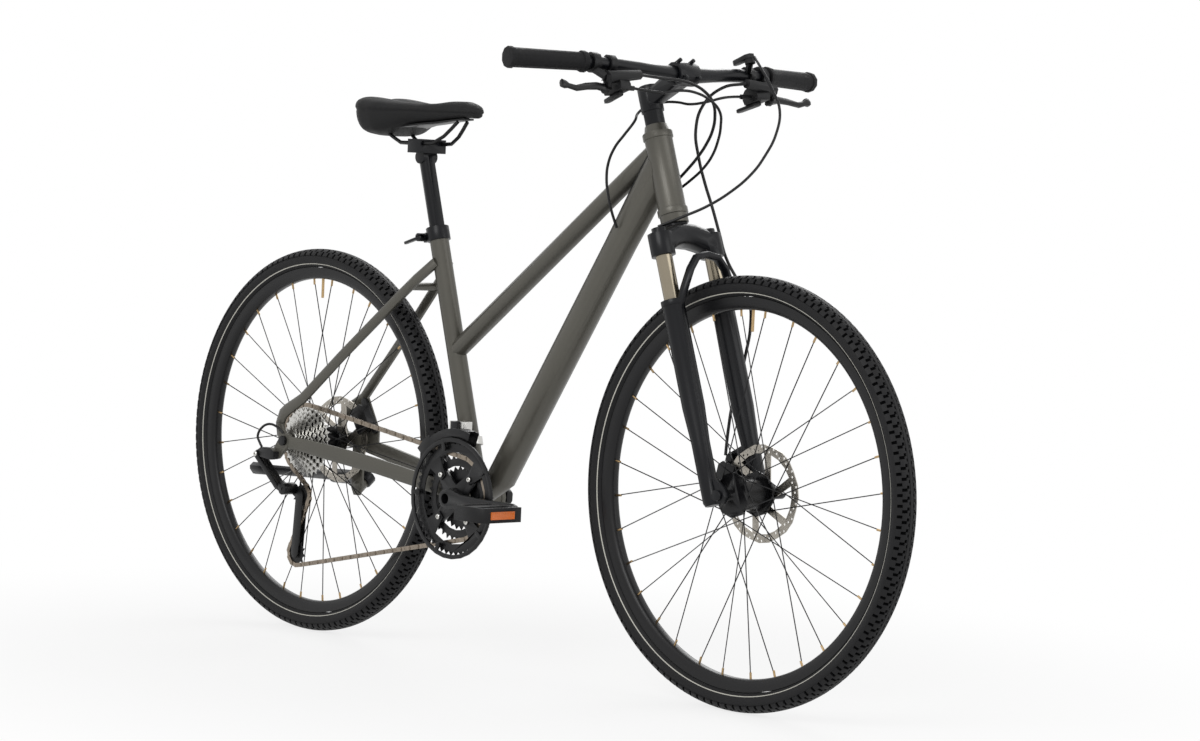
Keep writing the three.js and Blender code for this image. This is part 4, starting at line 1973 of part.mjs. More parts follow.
const rearLeverAt = rearAxle.clone().setY(rearOuter + GAP + QUICK_RELEASE.pivotAt);
add(group, 'rear_quick_release_lever', releaseLever(1), BLACK_METAL, rearLeverAt);
const collarLeverAt = onSeatTube(collarMiddle).addScaledVector(seatAhead, -COLLAR.boltBehind);
collarLeverAt.y = GAP - COLLAR.earHalf - QUICK_RELEASE.pivotAt * QUICK_RELEASE.collarShare;
const collarFrame = addGroup(group, collarLeverAt, SEAT_ANGLE - Math.PI / 2);
add(collarFrame, 'seat_clamp_lever', releaseLever(QUICK_RELEASE.collarShare), BLACK_METAL);

const steering = addGroup(group, steerFoot, HEAD_ANGLE - Math.PI / 2);
add(steering, 'fork_crown', forkCrown(), BLACK_PAINT);
add(steering, 'stem', stem(), BLACK_PAINT);
add(steering, 'handlebar', handlebar(), BLACK_PAINT);
add(steering, 'right_grip', rightGrip(), RUBBER);
add(steering, 'left_grip', mirrored(rightGrip()), RUBBER);
add(steering, 'right_controls', rightControls(), PLASTIC);
add(steering, 'left_controls', leftControls(), PLASTIC);
add(steering, 'right_brake_lever', rightBrakeLever(), BLACK_METAL, leverPivot);
add(steering, 'left_brake_lever', mirrored(rightBrakeLever()), BLACK_METAL, acrossFrom(leverPivot));
const shiftLeverAt = shiftPin.clone().setZ(shiftPin.z - SHIFTER.leverHalf - GAP);
add(steering, 'right_shift_lever', rightShiftLever(), PLASTIC, shiftLeverAt);
add(steering, 'left_shift_lever', mirrored(rightShiftLever()), PLASTIC, acrossFrom(shiftLeverAt));
const lockoutAt = acrossFrom(lockoutPost).setZ(lockoutPost.z + LOCKOUT.half + GAP);
add(steering, 'lockout_lever', lockoutLever(), PLASTIC, lockoutAt);

add(steering, 'front_brake_hose', frontBrakeHose(), RUBBER);
add(steering, 'rear_brake_hose', rearBrakeHose(), RUBBER);
add(steering, 'rear_shift_cable', rearShiftCable(), RUBBER);
add(steering, 'front_shift_cable', frontShiftCable(), RUBBER);
add(steering, 'lockout_cable', lockoutCable(), RUBBER);
add(group, 'rear_shift_loop', rearShiftLoop(), RUBBER);

add(steering, 'fork_lowers', forkLowers(), BLACK_PAINT);
const forkAxle = point(FORK.offset, 0, 0);
add(steering, 'front_brake_caliper', caliper(FRONT_HUB, CALIPER.frontAngle), BLACK_METAL, forkAxle);
const frontLeverAt = point(FORK.offset, frontOuter + GAP + QUICK_RELEASE.pivotAt, 0);
add(steering, 'front_quick_release_lever', releaseLever(1), BLACK_METAL, frontLeverAt);
const frontWheel = addGroup(steering, forkAxle, Math.PI / 2 - HEAD_ANGLE);
add(frontWheel, 'front_tyre', tyre(), RUBBER);
add(frontWheel, 'front_rim', rim(), BLACK_METAL);
add(frontWheel, 'front_hub', frontHub(), BLACK_METAL);
add(frontWheel, 'front_brake_rotor', rotor(FRONT_HUB), STEEL);

export default group;
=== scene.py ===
# %% [markdown]
# # A step-through bicycle
# The solids of the bicycle come packed from CAD, in metres, with the drive side at -Y.
# This lesson dresses them: it gives every part its finish, rounds its edges, and makes
# anew what a plain solid can't show, such as the tyres' tread and the padded saddle.

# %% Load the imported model
import bpy, json, math
from mathutils import Matrix, Quaternion, Vector


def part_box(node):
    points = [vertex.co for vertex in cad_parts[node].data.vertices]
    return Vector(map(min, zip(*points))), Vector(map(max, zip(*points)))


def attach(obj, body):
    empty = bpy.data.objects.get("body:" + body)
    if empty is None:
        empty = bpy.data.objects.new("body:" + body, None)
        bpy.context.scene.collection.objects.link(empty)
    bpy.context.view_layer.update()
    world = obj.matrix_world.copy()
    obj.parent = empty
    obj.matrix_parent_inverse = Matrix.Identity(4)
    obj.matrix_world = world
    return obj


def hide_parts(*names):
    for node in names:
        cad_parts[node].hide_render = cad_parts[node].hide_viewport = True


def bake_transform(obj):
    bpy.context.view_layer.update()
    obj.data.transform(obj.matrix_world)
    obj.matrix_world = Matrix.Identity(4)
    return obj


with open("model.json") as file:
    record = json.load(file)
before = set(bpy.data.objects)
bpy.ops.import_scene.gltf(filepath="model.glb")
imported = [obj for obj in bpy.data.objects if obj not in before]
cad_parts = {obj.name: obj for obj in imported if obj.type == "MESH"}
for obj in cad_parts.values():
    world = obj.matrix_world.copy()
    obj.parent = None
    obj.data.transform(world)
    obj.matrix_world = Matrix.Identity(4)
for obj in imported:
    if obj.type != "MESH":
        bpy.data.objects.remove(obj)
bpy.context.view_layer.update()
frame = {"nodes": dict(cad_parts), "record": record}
record = frame["record"]
body_of = {node: body for body, nodes in record["behaviour"]["bodies"].items() for node in nodes}
slot_of = {part["node"]: part["material_slot"] for part in record["subparts"]}

# %% [markdown]
# ## The camera
# The bicycle was photographed from its front right, from just above the hubs, with a long
# lens. The camera's place comes from the points where both wheels meet the ground and
# from the hubs. It comes first because everything after it is judged through it.

# %% Camera
def place_camera(spot, target, roll, lens, shift):
    bpy.ops.object.camera_add(location=spot)
    camera = bpy.context.object
    camera.name = "camera"
    look = (Vector(target) - Vector(spot)).to_track_quat("-Z", "Y")
    camera.rotation_mode = "QUATERNION"
    camera.rotation_quaternion = look @ Quaternion((0, 0, 1), math.radians(roll))
    camera.data.sensor_width = 36
    camera.data.lens = lens
    camera.data.shift_x, camera.data.shift_y = shift
    camera.data.clip_start, camera.data.clip_end = 0.05, 100
    bpy.context.scene.camera = camera

place_camera((4.1196, -3.8148, 0.8015), (0.2077, 0, 0.4155), 2.4717, 98.17, (-0.0017, 0.0559))

# %% [markdown]
# ## Selecting and keeping pieces
# An operator acts on all that is selected, so each step starts from nothing selected.
# Every finished piece keeps its object at the origin and, unless its ends sit on two bodies, rides on the body that
# carries it.

# %% Helpers for operators
def only(piece):
    bpy.ops.object.select_all(action="DESELECT")
    piece.select_set(True)
    bpy.context.view_layer.objects.active = piece

def settle(piece):
    only(piece)
    bpy.ops.object.transform_apply(location=True, rotation=True, scale=True)

def apply_all(piece):
    only(piece)
    for modifier in list(piece.modifiers):
        bpy.ops.object.modifier_apply(modifier=modifier.name)

def pick(piece, test):
    """Selects the faces of a piece in edit mode that pass a test on their centre and normal.
    Face mode comes first, or a face whose corners all touch chosen faces is chosen too."""
    bpy.ops.mesh.select_mode(type="FACE")
    bpy.ops.mesh.select_all(action="DESELECT")
    bpy.ops.object.mode_set(mode="OBJECT")
    for face in piece.data.polygons:
        face.select = bool(test(face.center, face.normal))
    bpy.ops.object.mode_set(mode="EDIT")

def keep(piece, name, like, material, replaced=(), bend=None):
    """Names a piece, gives it its material, and lets it ride as a CAD node does.
    A piece with a bend has its place baked into its mesh and rides on no body."""
    piece.name = piece.data.name = name
    piece.data.materials.clear()
    piece.data.materials.append(material)
    if bend:
        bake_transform(piece)
    else:
        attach(piece, body_of[like])
    if replaced:
        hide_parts(*replaced)
    return piece

# %% [markdown]
# ## Shared surface effects
# No real finish is one flat colour. Paint varies a little in tone, rubber is dusty in its
# hollows, and turned metal has fine rings. Each such effect is a node group with named
# inputs, built once, that every material uses with its own values.

# %% Node helpers
def wire(tree, node_type, inputs=None, **settings):
    node = tree.nodes.new(node_type)
    for key, value in settings.items():
        setattr(node, key, value)
    for key, value in (inputs or {}).items():
        if isinstance(value, bpy.types.NodeSocket):
            tree.links.new(value, node.inputs[key])
        else:
            node.inputs[key].default_value = value
    return node

def new_group(name, inputs, outputs):
    tree = bpy.data.node_groups.new(name, "ShaderNodeTree")
    for label, kind, value in inputs:
        socket = tree.interface.new_socket(label, in_out="INPUT", socket_type="NodeSocket" + kind)
        if value is not None:
            socket.default_value = value
    for label, kind in outputs:
        tree.interface.new_socket(label, in_out="OUTPUT", socket_type="NodeSocket" + kind)
    return tree, tree.nodes.new("NodeGroupInput").outputs, tree.nodes.new("NodeGroupOutput").inputs

def math_node(tree, operation, a, b):
    return wire(tree, "ShaderNodeMath", {0: a, 1: b}, operation=operation).outputs[0]

# %% Tone: slow change of colour and gloss, with a fine grain
TONE, given, out = new_group(
    "tone and grain",
    [("Vector", "Vector", None), ("Color", "Color", (1, 1, 1, 1)), ("Variation", "Float", 0.1),
     ("Patch Scale", "Float", 20), ("Roughness", "Float", 0.5), ("Grain Scale", "Float", 1500)],
    [("Color", "Color"), ("Roughness", "Float"), ("Height", "Float")])
patches = wire(TONE, "ShaderNodeTexNoise", {"Vector": given["Vector"], "Scale": given["Patch Scale"], "Detail": 4})
centred = math_node(TONE, "SUBTRACT", patches.outputs["Fac"], 0.5)
swing = math_node(TONE, "MULTIPLY", centred, given["Variation"])
brighter = math_node(TONE, "ADD", math_node(TONE, "MULTIPLY", swing, 4), 1)
tinted = wire(TONE, "ShaderNodeVectorMath", {0: given["Color"], "Scale": brighter}, operation="SCALE")
TONE.links.new(tinted.outputs[0], out["Color"])
TONE.links.new(math_node(TONE, "ADD", given["Roughness"], swing), out["Roughness"])
grain = wire(TONE, "ShaderNodeTexNoise", {"Vector": given["Vector"], "Scale": given["Grain Scale"], "Detail": 2})
TONE.links.new(grain.outputs["Fac"], out["Height"])

# %% Dust: a pale film that gathers in patches, more on faces that look up
DUST, given, out = new_group(
    "dust",
    [("Vector", "Vector", None), ("Normal", "Vector", None), ("Color", "Color", (1, 1, 1, 1)),
     ("Dust Color", "Color", (0.2, 0.17, 0.13, 1)), ("Amount", "Float", 0.2), ("Roughness", "Float", 0.5)],
    [("Color", "Color"), ("Roughness", "Float")])
up = wire(DUST, "ShaderNodeSeparateXYZ", {0: given["Normal"]}).outputs["Z"]
upward = wire(DUST, "ShaderNodeMapRange", {"Value": up, "From Min": -0.6, "From Max": 1, "To Min": 0.25}).outputs[0]
cloud = wire(DUST, "ShaderNodeTexNoise", {"Vector": given["Vector"], "Scale": 45, "Detail": 6})
broken = wire(DUST, "ShaderNodeMapRange", {"Value": cloud.outputs["Fac"], "From Min": 0.38, "From Max": 0.72})
amount = math_node(DUST, "MULTIPLY", math_node(DUST, "MULTIPLY", upward, broken.outputs[0]), given["Amount"])
dusty = wire(DUST, "ShaderNodeMix", {0: amount, 6: given["Color"], 7: given["Dust Color"]}, data_type="RGBA")
DUST.links.new(dusty.outputs[2], out["Color"])
DUST.links.new(math_node(DUST, "ADD", given["Roughness"], math_node(DUST, "MULTIPLY", amount, 0.4)), out["Roughness"])

# %% Turned: fine rings round an axle along Y, as a lathe or a brake pad leaves them
TURNED, given, out = new_group(
    "turned rings", [("Vector", "Vector", None), ("Scale", "Float", 900)], [("Height", "Float")])
flat = wire(TURNED, "ShaderNodeVectorMath", {0: given["Vector"], 1: (1, 0, 1)}, operation="MULTIPLY")
radius = wire(TURNED, "ShaderNodeVectorMath", {0: flat.outputs[0]}, operation="LENGTH")
rings = wire(TURNED, "ShaderNodeTexNoise", {"W": radius.outputs["Value"], "Scale": given["Scale"], "Detail": 3},
             noise_dimensions="1D")
TURNED.links.new(rings.outputs["Fac"], out["Height"])

# %% Pebbles: the small rounded cells of leather, grip rubber and moulded texture
PEBBLES, given, out = new_group(
    "pebbles", [("Vector", "Vector", None), ("Scale", "Float", 500)], [("Height", "Float"), ("Hollow", "Float")])
cells = wire(PEBBLES, "ShaderNodeTexVoronoi", {"Vector": given["Vector"], "Scale": given["Scale"]},
             feature="DISTANCE_TO_EDGE")
raised = wire(PEBBLES, "ShaderNodeMapRange", {"Value": cells.outputs["Distance"], "From Max": 0.25})
PEBBLES.links.new(raised.outputs[0], out["Height"])
PEBBLES.links.new(math_node(PEBBLES, "SUBTRACT", 1, raised.outputs[0]), out["Hollow"])
print("groups:", [group.name for group in bpy.data.node_groups])

# %% [markdown]
# ## The finishes
# A finish is one Principled shader. Its fixed numbers sit on its own sockets, and the
# groups feed only what changes over the surface: colour, roughness and the bump's height.

# %% A function that builds a finish
def linear(code):
    parts = [int(code[i:i + 2], 16) / 255 for i in (1, 3, 5)]
    return (*[c / 12.92 if c <= 0.04045 else ((c + 0.055) / 1.055) ** 2.4 for c in parts], 1)

def finish(name, code, roughness, metallic=0.0, variation=0.1, patch=20, grain=1500, bump=0.05,
           dust=0.0, rings_at=None, pebbles=0, coat=0.0, shine=0.5):
    material = bpy.data.materials.new(name)
    material.use_nodes = True
    tree = material.node_tree
    shader = tree.nodes["Principled BSDF"]
    shader.inputs["Metallic"].default_value = metallic
    shader.inputs["Specular IOR Level"].default_value = shine
    shader.inputs["Coat Weight"].default_value = coat
    shader.inputs["Coat Roughness"].default_value = 0.12
    place = tree.nodes.new("ShaderNodeTexCoord").outputs["Object"]
    tone = wire(tree, "ShaderNodeGroup", node_tree=TONE)
    tree.links.new(place, tone.inputs["Vector"])
    for label, value in (("Color", linear(code)), ("Variation", variation), ("Patch Scale", patch),
                         ("Roughness", roughness), ("Grain Scale", grain)):
        tone.inputs[label].default_value = value
    color, rough, height = (tone.outputs[label] for label in ("Color", "Roughness", "Height"))
    if dust:
        film = wire(tree, "ShaderNodeGroup", node_tree=DUST)
        normal = tree.nodes.new("ShaderNodeNewGeometry").outputs["Normal"]
        for label, source in (("Vector", place), ("Normal", normal), ("Color", color), ("Roughness", rough)):
            tree.links.new(source, film.inputs[label])
        film.inputs["Amount"].default_value = dust
        color, rough = film.outputs["Color"], film.outputs["Roughness"]
    if rings_at:
        centred_at = wire(tree, "ShaderNodeMapping", {"Vector": place, "Location": [-v for v in rings_at]})
        turned = wire(tree, "ShaderNodeGroup", node_tree=TURNED)
        tree.links.new(centred_at.outputs[0], turned.inputs["Vector"])
        height = math_node(tree, "ADD", turned.outputs["Height"], math_node(tree, "MULTIPLY", height, 0.4))
    if pebbles:
        pebble = wire(tree, "ShaderNodeGroup", node_tree=PEBBLES)
        tree.links.new(place, pebble.inputs["Vector"])
        pebble.inputs["Scale"].default_value = pebbles
        height = math_node(tree, "ADD", pebble.outputs["Height"], math_node(tree, "MULTIPLY", height, 0.3))
        rough = math_node(tree, "ADD", rough, math_node(tree, "MULTIPLY", pebble.outputs["Hollow"], 0.12))
    bumped = wire(tree, "ShaderNodeBump", {"Height": height, "Strength": bump, "Distance": 0.001})
    tree.links.new(color, shader.inputs["Base Color"])
    tree.links.new(rough, shader.inputs["Roughness"])
    tree.links.new(bumped.outputs[0], shader.inputs["Normal"])
    return material

# %% The bicycle's finishes
REAR, FRONT = (-0.541, 0, 0.351), (0.541, 0, 0.351)
FRAME_PAINT = finish("frame paint", "#55534c", roughness=0.40, metallic=0.45, variation=0.05, patch=9,
    grain=2600, bump=0.1, dust=0.04, coat=0.12)
BLACK_PAINT = finish("black paint", "#0b0c10", roughness=0.34, variation=0.06, patch=12, grain=1800, bump=0.05,
    coat=0.06, shine=0.22)
ANODISED = finish("black anodised metal", "#0c0c0e", roughness=0.34, variation=0.08, patch=40, grain=2400,
    bump=0.12, coat=0.04, shine=0.28)
ALLOY = finish("bright alloy", "#c9c8c4", roughness=0.28, metallic=1.0, variation=0.08, patch=50, grain=1800,
    bump=0.08)
BRASS = finish("nickelled brass", "#b59a72", roughness=0.3, metallic=1.0, variation=0.1, patch=80, grain=1800,
    bump=0.08)
STANCHION = finish("bronze anodised stanchion", "#8f8675", roughness=0.2, metallic=0.9, variation=0.04,
    patch=20, grain=2600, bump=0.04, coat=0.2)
CHAIN_STEEL = finish("oiled chain steel", "#8a8074", roughness=0.34, metallic=1.0, variation=0.25, patch=120,
    grain=1500, bump=0.1, dust=0.06)
REAR_ROTOR = finish("rear rotor steel", "#a8a39a", roughness=0.3, metallic=1.0, variation=0.08, patch=60,
    grain=1500, bump=0.25, rings_at=REAR)
FRONT_ROTOR = finish("front rotor steel", "#a8a39a", roughness=0.3, metallic=1.0, variation=0.08, patch=60,
    grain=1500, bump=0.25, rings_at=FRONT)
TREAD_RUBBER = finish("tyre rubber", "#111113", roughness=0.55, variation=0.1, patch=18, grain=1100, bump=0.3,
    dust=0.015, shine=0.24)
# The groove floors get a darker rubber with almost no shine: painted shade in the tread's hollows.
GROOVE_PAINTED_SHADE = finish("tyre rubber in the grooves", "#050506", roughness=0.8, variation=0.1, patch=18,
    grain=1100, bump=0.2, shine=0.03)
STRIPE = finish("reflecting stripe", "#c4c2b8", roughness=0.4, variation=0.06, patch=30, grain=1500, bump=0.1)
GRIP_RUBBER = finish("grip rubber", "#0e0e10", roughness=0.6, variation=0.08, patch=30, grain=900, bump=0.4,
    dust=0.01, pebbles=420, shine=0.25)
JACKET = finish("cable jacket", "#08080a", roughness=0.36, variation=0.06, patch=25, grain=2500, bump=0.08,
    shine=0.3)
PLASTIC = finish("moulded plastic", "#0c0c0e", roughness=0.45, variation=0.08, patch=35, grain=1500, bump=0.25,
    dust=0.01, shine=0.28)
DARK_PAINT = finish("dark frame paint", "#26272a", roughness=0.36, metallic=0.3, variation=0.05, patch=9,
    grain=2600, bump=0.08, coat=0.12, shine=0.35)
AMBER = finish("amber reflector", "#e0701a", roughness=0.25, variation=0.06, patch=60, grain=1200, bump=0.3,
    pebbles=500, coat=0.5)
SKIN = finish("saddle cover", "#131314", roughness=0.52, variation=0.08, patch=14, grain=1200, bump=0.4,
    dust=0.01, pebbles=650, shine=0.25)
SHELL = finish("saddle shell", "#0a0a0c", roughness=0.36, variation=0.06, patch=20, grain=1800, bump=0.1,
    shine=0.3)
print("finishes:", len(bpy.data.materials))

# %% [markdown]
# ## Rounding the solids
# A CAD solid comes as loose triangles with sharp edges. A copy of it is merged into one
# skin, its flat faces are joined again, and a narrow bevel on its real edges catches the
# light as on the real part. Its turned faces are shaded smooth, so a tube looks round.

# %% Round every hard part
HOSE_RADIUS, HOUSING_RADIUS = 0.0026, 0.0023
CABLES = {
    "front_brake_hose": (HOSE_RADIUS,
        "385.2 123.4 1013.1, 361.9 91.7 1004.2, 335.7 74.7 974.6, 329.3 66.7 933.2, 334.7 70.3 890.3, "
        "344.9 77.0 848.5, 358.4 83.8 807.7, 372.7 88.0 766.8, 388.8 90.0 726.4, 413.7 93.1 691.2, "
        "440.6 95.6 657.3, 448.4 93.3 614.9, 446.1 87.8 571.8, 443.9 78.4 529.4, 441.7 66.0 487.7, "
        "447.4 53.0 446.7, 456.6 39.5 406.3"),
    "rear_brake_hose": (HOSE_RADIUS,
        "385.2 -123.4 1013.1, 383.8 -95.9 1011.9, 387.2 -68.7 1010.3, 395.0 -42.2 1009.0, 400.5 -15.7 1003.7, "
        "402.3 9.8 993.1, 399.5 32.0 977.1, 390.7 47.1 955.8, 377.9 56.4 933.1, 361.9 60.0 910.9, "
        "344.9 58.7 889.2, 327.8 53.1 868.1, 310.8 45.3 847.7, 293.8 36.8 827.6, 276.8 28.9 807.2"),
    "rear_shift_cable": (HOUSING_RADIUS,
        "373.1 -124.4 991.5, 376.1 -96.0 989.3, 384.0 -68.2 987.9, 393.0 -41.0 992.6, 401.9 -13.6 991.2, "
        "411.1 11.8 980.7, 413.3 34.2 963.1, 403.5 48.5 940.0, 390.3 57.1 915.6, 375.4 60.1 890.9, "
        "356.8 58.1 868.8, 335.8 52.1 849.7, 314.0 44.5 832.1, 292.0 36.5 814.8, 270.3 28.9 797.2"),
    "front_shift_cable": (HOUSING_RADIUS,
        "373.1 124.4 991.5, 377.9 97.6 989.8, 380.8 70.9 986.3, 362.2 53.0 978.7, 337.3 42.7 974.7, "
        "310.2 40.0 977.6, 284.0 33.1 976.8, 261.9 18.8 969.3, 262.5 -2.9 956.7, 274.8 -22.5 942.4, "
        "265.0 -34.2 920.6, 249.0 -39.6 899.0, 240.0 -44.0 873.7, 238.4 -45.2 846.3, 241.9 -42.9 819.2, "
        "246.3 -37.6 792.7, 250.6 -28.9 767.0"),
    "lockout_cable": (HOUSING_RADIUS,
        "376.2 150.0 1058.4, 409.6 132.4 1037.9, 439.1 127.8 1005.5, 464.3 122.3 969.9, 472.8 106.9 930.4, "
        "473.6 82.2 894.1, 473.4 51.4 862.8, 460.0 21.0 834.1, 437.4 -7.6 809.6, 406.7 -32.7 790.4, "
        "374.7 -57.0 772.4"),
    "rear_shift_loop": (HOUSING_RADIUS,
        "-541.0 -81.1 365.0, -548.7 -83.9 372.0, -557.6 -86.8 377.1, -567.6 -89.7 379.3, -577.8 -92.3 377.2, "
        "-586.8 -93.8 371.6, -594.2 -94.3 363.9, -597.8 -94.3 354.1, -592.6 -94.0 344.8, -586.0 -93.6 336.4"),
}
MADE_ANEW = {"rear_tyre", "front_tyre", "rear_rim", "front_rim", "rear_brake_rotor", "front_brake_rotor", "chain",
             "saddle_cover", *CABLES}
FINISH_OF_SLOT = {"frame_paint": FRAME_PAINT, "fork_paint": BLACK_PAINT, "black_metal": ANODISED,
                  "grip_rubber": GRIP_RUBBER, "black_plastic": PLASTIC}
FINISH_OF_NODE = {"front_derailleur": ALLOY, "front_derailleur_cage": ANODISED,
                  "cassette": ALLOY, "saddle_base": SHELL}
EDGE, FINE_EDGE, BROAD_EDGE = 0.0006, 0.0003, 0.0012
EDGE_OF_NODE = {"cassette": 0, "front_hub": 0, "rear_hub": 0, "chainrings": FINE_EDGE, "fork_crown": BROAD_EDGE,
                "stem": BROAD_EDGE, "right_crank": BROAD_EDGE, "left_crank": BROAD_EDGE}

def copy_of(node, name):
    piece = bpy.data.objects.new(name, frame["nodes"][node].data.copy())
    bpy.context.scene.collection.objects.link(piece)
    only(piece)
    bpy.ops.object.mode_set(mode="EDIT")
    bpy.ops.mesh.select_all(action="SELECT")
    bpy.ops.mesh.remove_doubles(threshold=0.00001)
    bpy.ops.mesh.dissolve_limited(angle_limit=math.radians(1))
    bpy.ops.object.mode_set(mode="OBJECT")
    return piece

def rounded(node, edge):
    piece = copy_of(node, "rounded_" + node)
    if edge:
        bevel = piece.modifiers.new("edge", "BEVEL")
        bevel.width, bevel.segments = edge, 2
        bevel.limit_method, bevel.angle_limit = "ANGLE", math.radians(48)
        apply_all(piece)
    bpy.ops.object.shade_smooth_by_angle(angle=math.radians(42))
    return piece

for node in sorted(set(body_of) - MADE_ANEW):
    piece = rounded(node, EDGE_OF_NODE.get(node, EDGE))
    finish_used = FINISH_OF_NODE.get(node) or FINISH_OF_SLOT[slot_of[node]]
    keep(piece, piece.name, node, finish_used, [node])
print("rounded:", len(body_of) - len(MADE_ANEW))

# %% [markdown]
# ## Pieces with two finishes
# Some solids carry two finishes. The fork's sliding tubes are bronze under a black crown,
# the seat tube ends in a black collar, a black hanger carries the derailleur, and the down
# tube's upper side is painted darker than its flanks. A second material goes to those
# faces, which are found by their place along the tube and by the way they look.

# %% Give some faces a second finish
def second_finish(node, material, test):
    piece = bpy.data.objects["rounded_" + node]
    piece.data.materials.append(material)
    chosen = 0
    for face in piece.data.polygons:
        if test(face.center, face.normal):
            face.material_index = 1
            chosen += 1
    print(node, "second finish on faces:", chosen)

def lean(degrees):
    """The way up a tube that leans back from the ground line by so many degrees."""
    return Vector((-math.cos(math.radians(degrees)), 0, math.sin(math.radians(degrees))))

STEER_UP, STEER_FOOT, CROWN_UNDERSIDE = lean(71), Vector((0.507907, 0, 0.339605)), 0.4028
STANCHION_SIDE, STANCHION_REACH = 0.057, 0.0142
second_finish("fork_crown", STANCHION, lambda centre, normal: (centre - STEER_FOOT).dot(STEER_UP) < CROWN_UNDERSIDE
              and abs(abs(centre.y) - STANCHION_SIDE) < STANCHION_REACH)

SEAT_UP, CRANK_AXLE, COLLAR_FOOT = lean(73.4), Vector((-0.092039, 0, 0.287)), 0.4605
second_finish("seat_tube", BLACK_PAINT, lambda centre, normal: (centre - CRANK_AXLE).dot(SEAT_UP) > COLLAR_FOOT)

HANGER_START, HANGER_BEHIND = 0.027, -0.550
second_finish("right_chainstay", ANODISED, lambda centre, normal: (centre - Vector(REAR)).xz.length > HANGER_START
              and centre.x < HANGER_BEHIND)

ABOVE_DOWN_TUBE, DARK_FROM = Vector((-0.72, 0, 0.69)), 0.42
second_finish("down_tube", DARK_PAINT, lambda centre, normal: normal.dot(ABOVE_DOWN_TUBE) > DARK_FROM)

# %% [markdown]
# ## Tyres
# A tyre is one outline turned round its axle. The outline is drawn as an open line of
# vertices, spun a full turn, and then the faces of its shoulders are raised in blocks to
# make the tread, with a plain running band between them, as on a touring tyre.

# %% Spin a tyre
OUTLINE = [(12.0, 317.6), (14.6, 319.4), (17.0, 322.2), (17.9, 323.6), (19.4, 326.8), (20.6, 331.0), (20.7, 334.6),
           (19.8, 337.6), (17.8, 341.1), (15.1, 344.0), (11.9, 346.1), (8.6, 347.4), (5.2, 348.2), (3.2, 348.4),
           (0.0, 348.5)]
TREAD_DEPTH = 0.0022

def outline_object(name, points, closed):
    mesh = bpy.data.meshes.new(name)
    count = len(points)
    links = [(i, (i + 1) % count) for i in range(count if closed else count - 1)]
    mesh.from_pydata([Vector((0, y, z)) / 1000 for y, z in points], links, [])
    piece = bpy.data.objects.new(name, mesh)
    bpy.context.scene.collection.objects.link(piece)
    return piece

def spun(piece, steps, centre=(0, 0, 0)):
    only(piece)
    bpy.ops.object.mode_set(mode="EDIT")
    bpy.ops.mesh.select_all(action="SELECT")
    bpy.ops.mesh.spin(steps=steps, angle=math.tau, center=centre, axis=(0, 1, 0))
    bpy.ops.mesh.select_all(action="SELECT")
    bpy.ops.mesh.remove_doubles(threshold=0.00002)
    bpy.ops.mesh.normals_make_consistent(inside=False)

STEPS, STEPS_A_BLOCK = 528, 4
TREAD_FOOT, BAND_HALF, BLOCK_GAP = 0.3388, 0.0033, 0.0004

def tyre(name):
    """A tyre round Y at the origin, with its blocks and its running band raised."""
    loop = [(-y, z) for y, z in OUTLINE] + [(y, z) for y, z in reversed(OUTLINE[:-1])]
    piece = outline_object(name, loop, closed=True)
    spun(piece, STEPS)
    def block(centre, normal):
        # Each row of blocks starts a step later than its neighbour, so the gaps zigzag.
        across, turn = abs(centre.y), (math.atan2(centre.z, centre.x) / math.tau + 1) * STEPS
        row = 2 * int(across > 0.0054) + int(across > 0.0095) + 2 * int(across > 0.015) + int(centre.y > 0)
        return centre.xz.length > TREAD_FOOT and across > BAND_HALF and int(turn + row) % STEPS_A_BLOCK != 0
    pick(piece, block)
    bpy.ops.mesh.inset(thickness=BLOCK_GAP, depth=TREAD_DEPTH, use_individual=False)
    pick(piece, lambda centre, normal: abs(centre.y) < BAND_HALF and centre.xz.length > TREAD_FOOT)
    bpy.ops.mesh.inset(thickness=BLOCK_GAP, depth=TREAD_DEPTH, use_individual=False)
    bpy.ops.object.mode_set(mode="OBJECT")
    bpy.ops.object.shade_smooth_by_angle(angle=math.radians(28))
    return piece

STRIPE_RADIUS, STRIPE_HALF, STRIPE_SIDE = 0.3229, 0.0006, 0.0165

def groove_floor(side, reach):
    """Whether a spot on the tread lies at the height of the plain outline, so between blocks, where shade is painted.
    """
    for (near, top), (far, foot) in zip(reversed(OUTLINE), reversed(OUTLINE[:-1])):
        if near / 1000 <= side <= far / 1000:
            share = (side * 1000 - near) / (far - near)
            return reach * 1000 < top + (foot - top) * share + TREAD_DEPTH * 400
    return False

first = tyre("rear_tyre_tread")
second = bpy.data.objects.new("front_tyre_tread", first.data.copy())
bpy.context.scene.collection.objects.link(second)
for piece, hub, node in ((first, REAR, "rear_tyre"), (second, FRONT, "front_tyre")):
    keep(piece, node + "_tread", node, TREAD_RUBBER, [node])
    piece.data.materials.append(STRIPE)
    piece.data.materials.append(GROOVE_PAINTED_SHADE)
    # Faces on the stripe get its finish, and the groove floors get the darker rubber as painted shade.
    for face in piece.data.polygons:
        reach, side = face.center.xz.length, abs(face.center.y)
        if abs(reach - STRIPE_RADIUS) < STRIPE_HALF and side > STRIPE_SIDE:
            face.material_index = 1
        elif reach > TREAD_FOOT and groove_floor(side, reach):
            face.material_index = 2
    piece.location = hub
    settle(piece)
print("tyre faces:", len(first.data.polygons))

# %% [markdown]
# ## Rims, nipples and valves
# The rims are hollow black profiles, turned from one outline as the tyres are. Each spoke
# ends in a small nickelled nipple, and one valve stands in each rim. One nipple is made
# and copied round the wheel, which keeps all of them alike.

# %% Spin the rims and set their small parts
RIM_OUTLINE = [(12.1, 316.8), (10.5, 316.8), (10.2, 311.6), (4.5, 309.4), (0.0, 309.0)]
RIM_OUTSIDE = [(12.1, 316.8), (12.0, 309.0), (11.2, 303.6), (9.4, 299.0), (6.6, 296.7), (3.2, 296.0), (0.0, 295.8)]

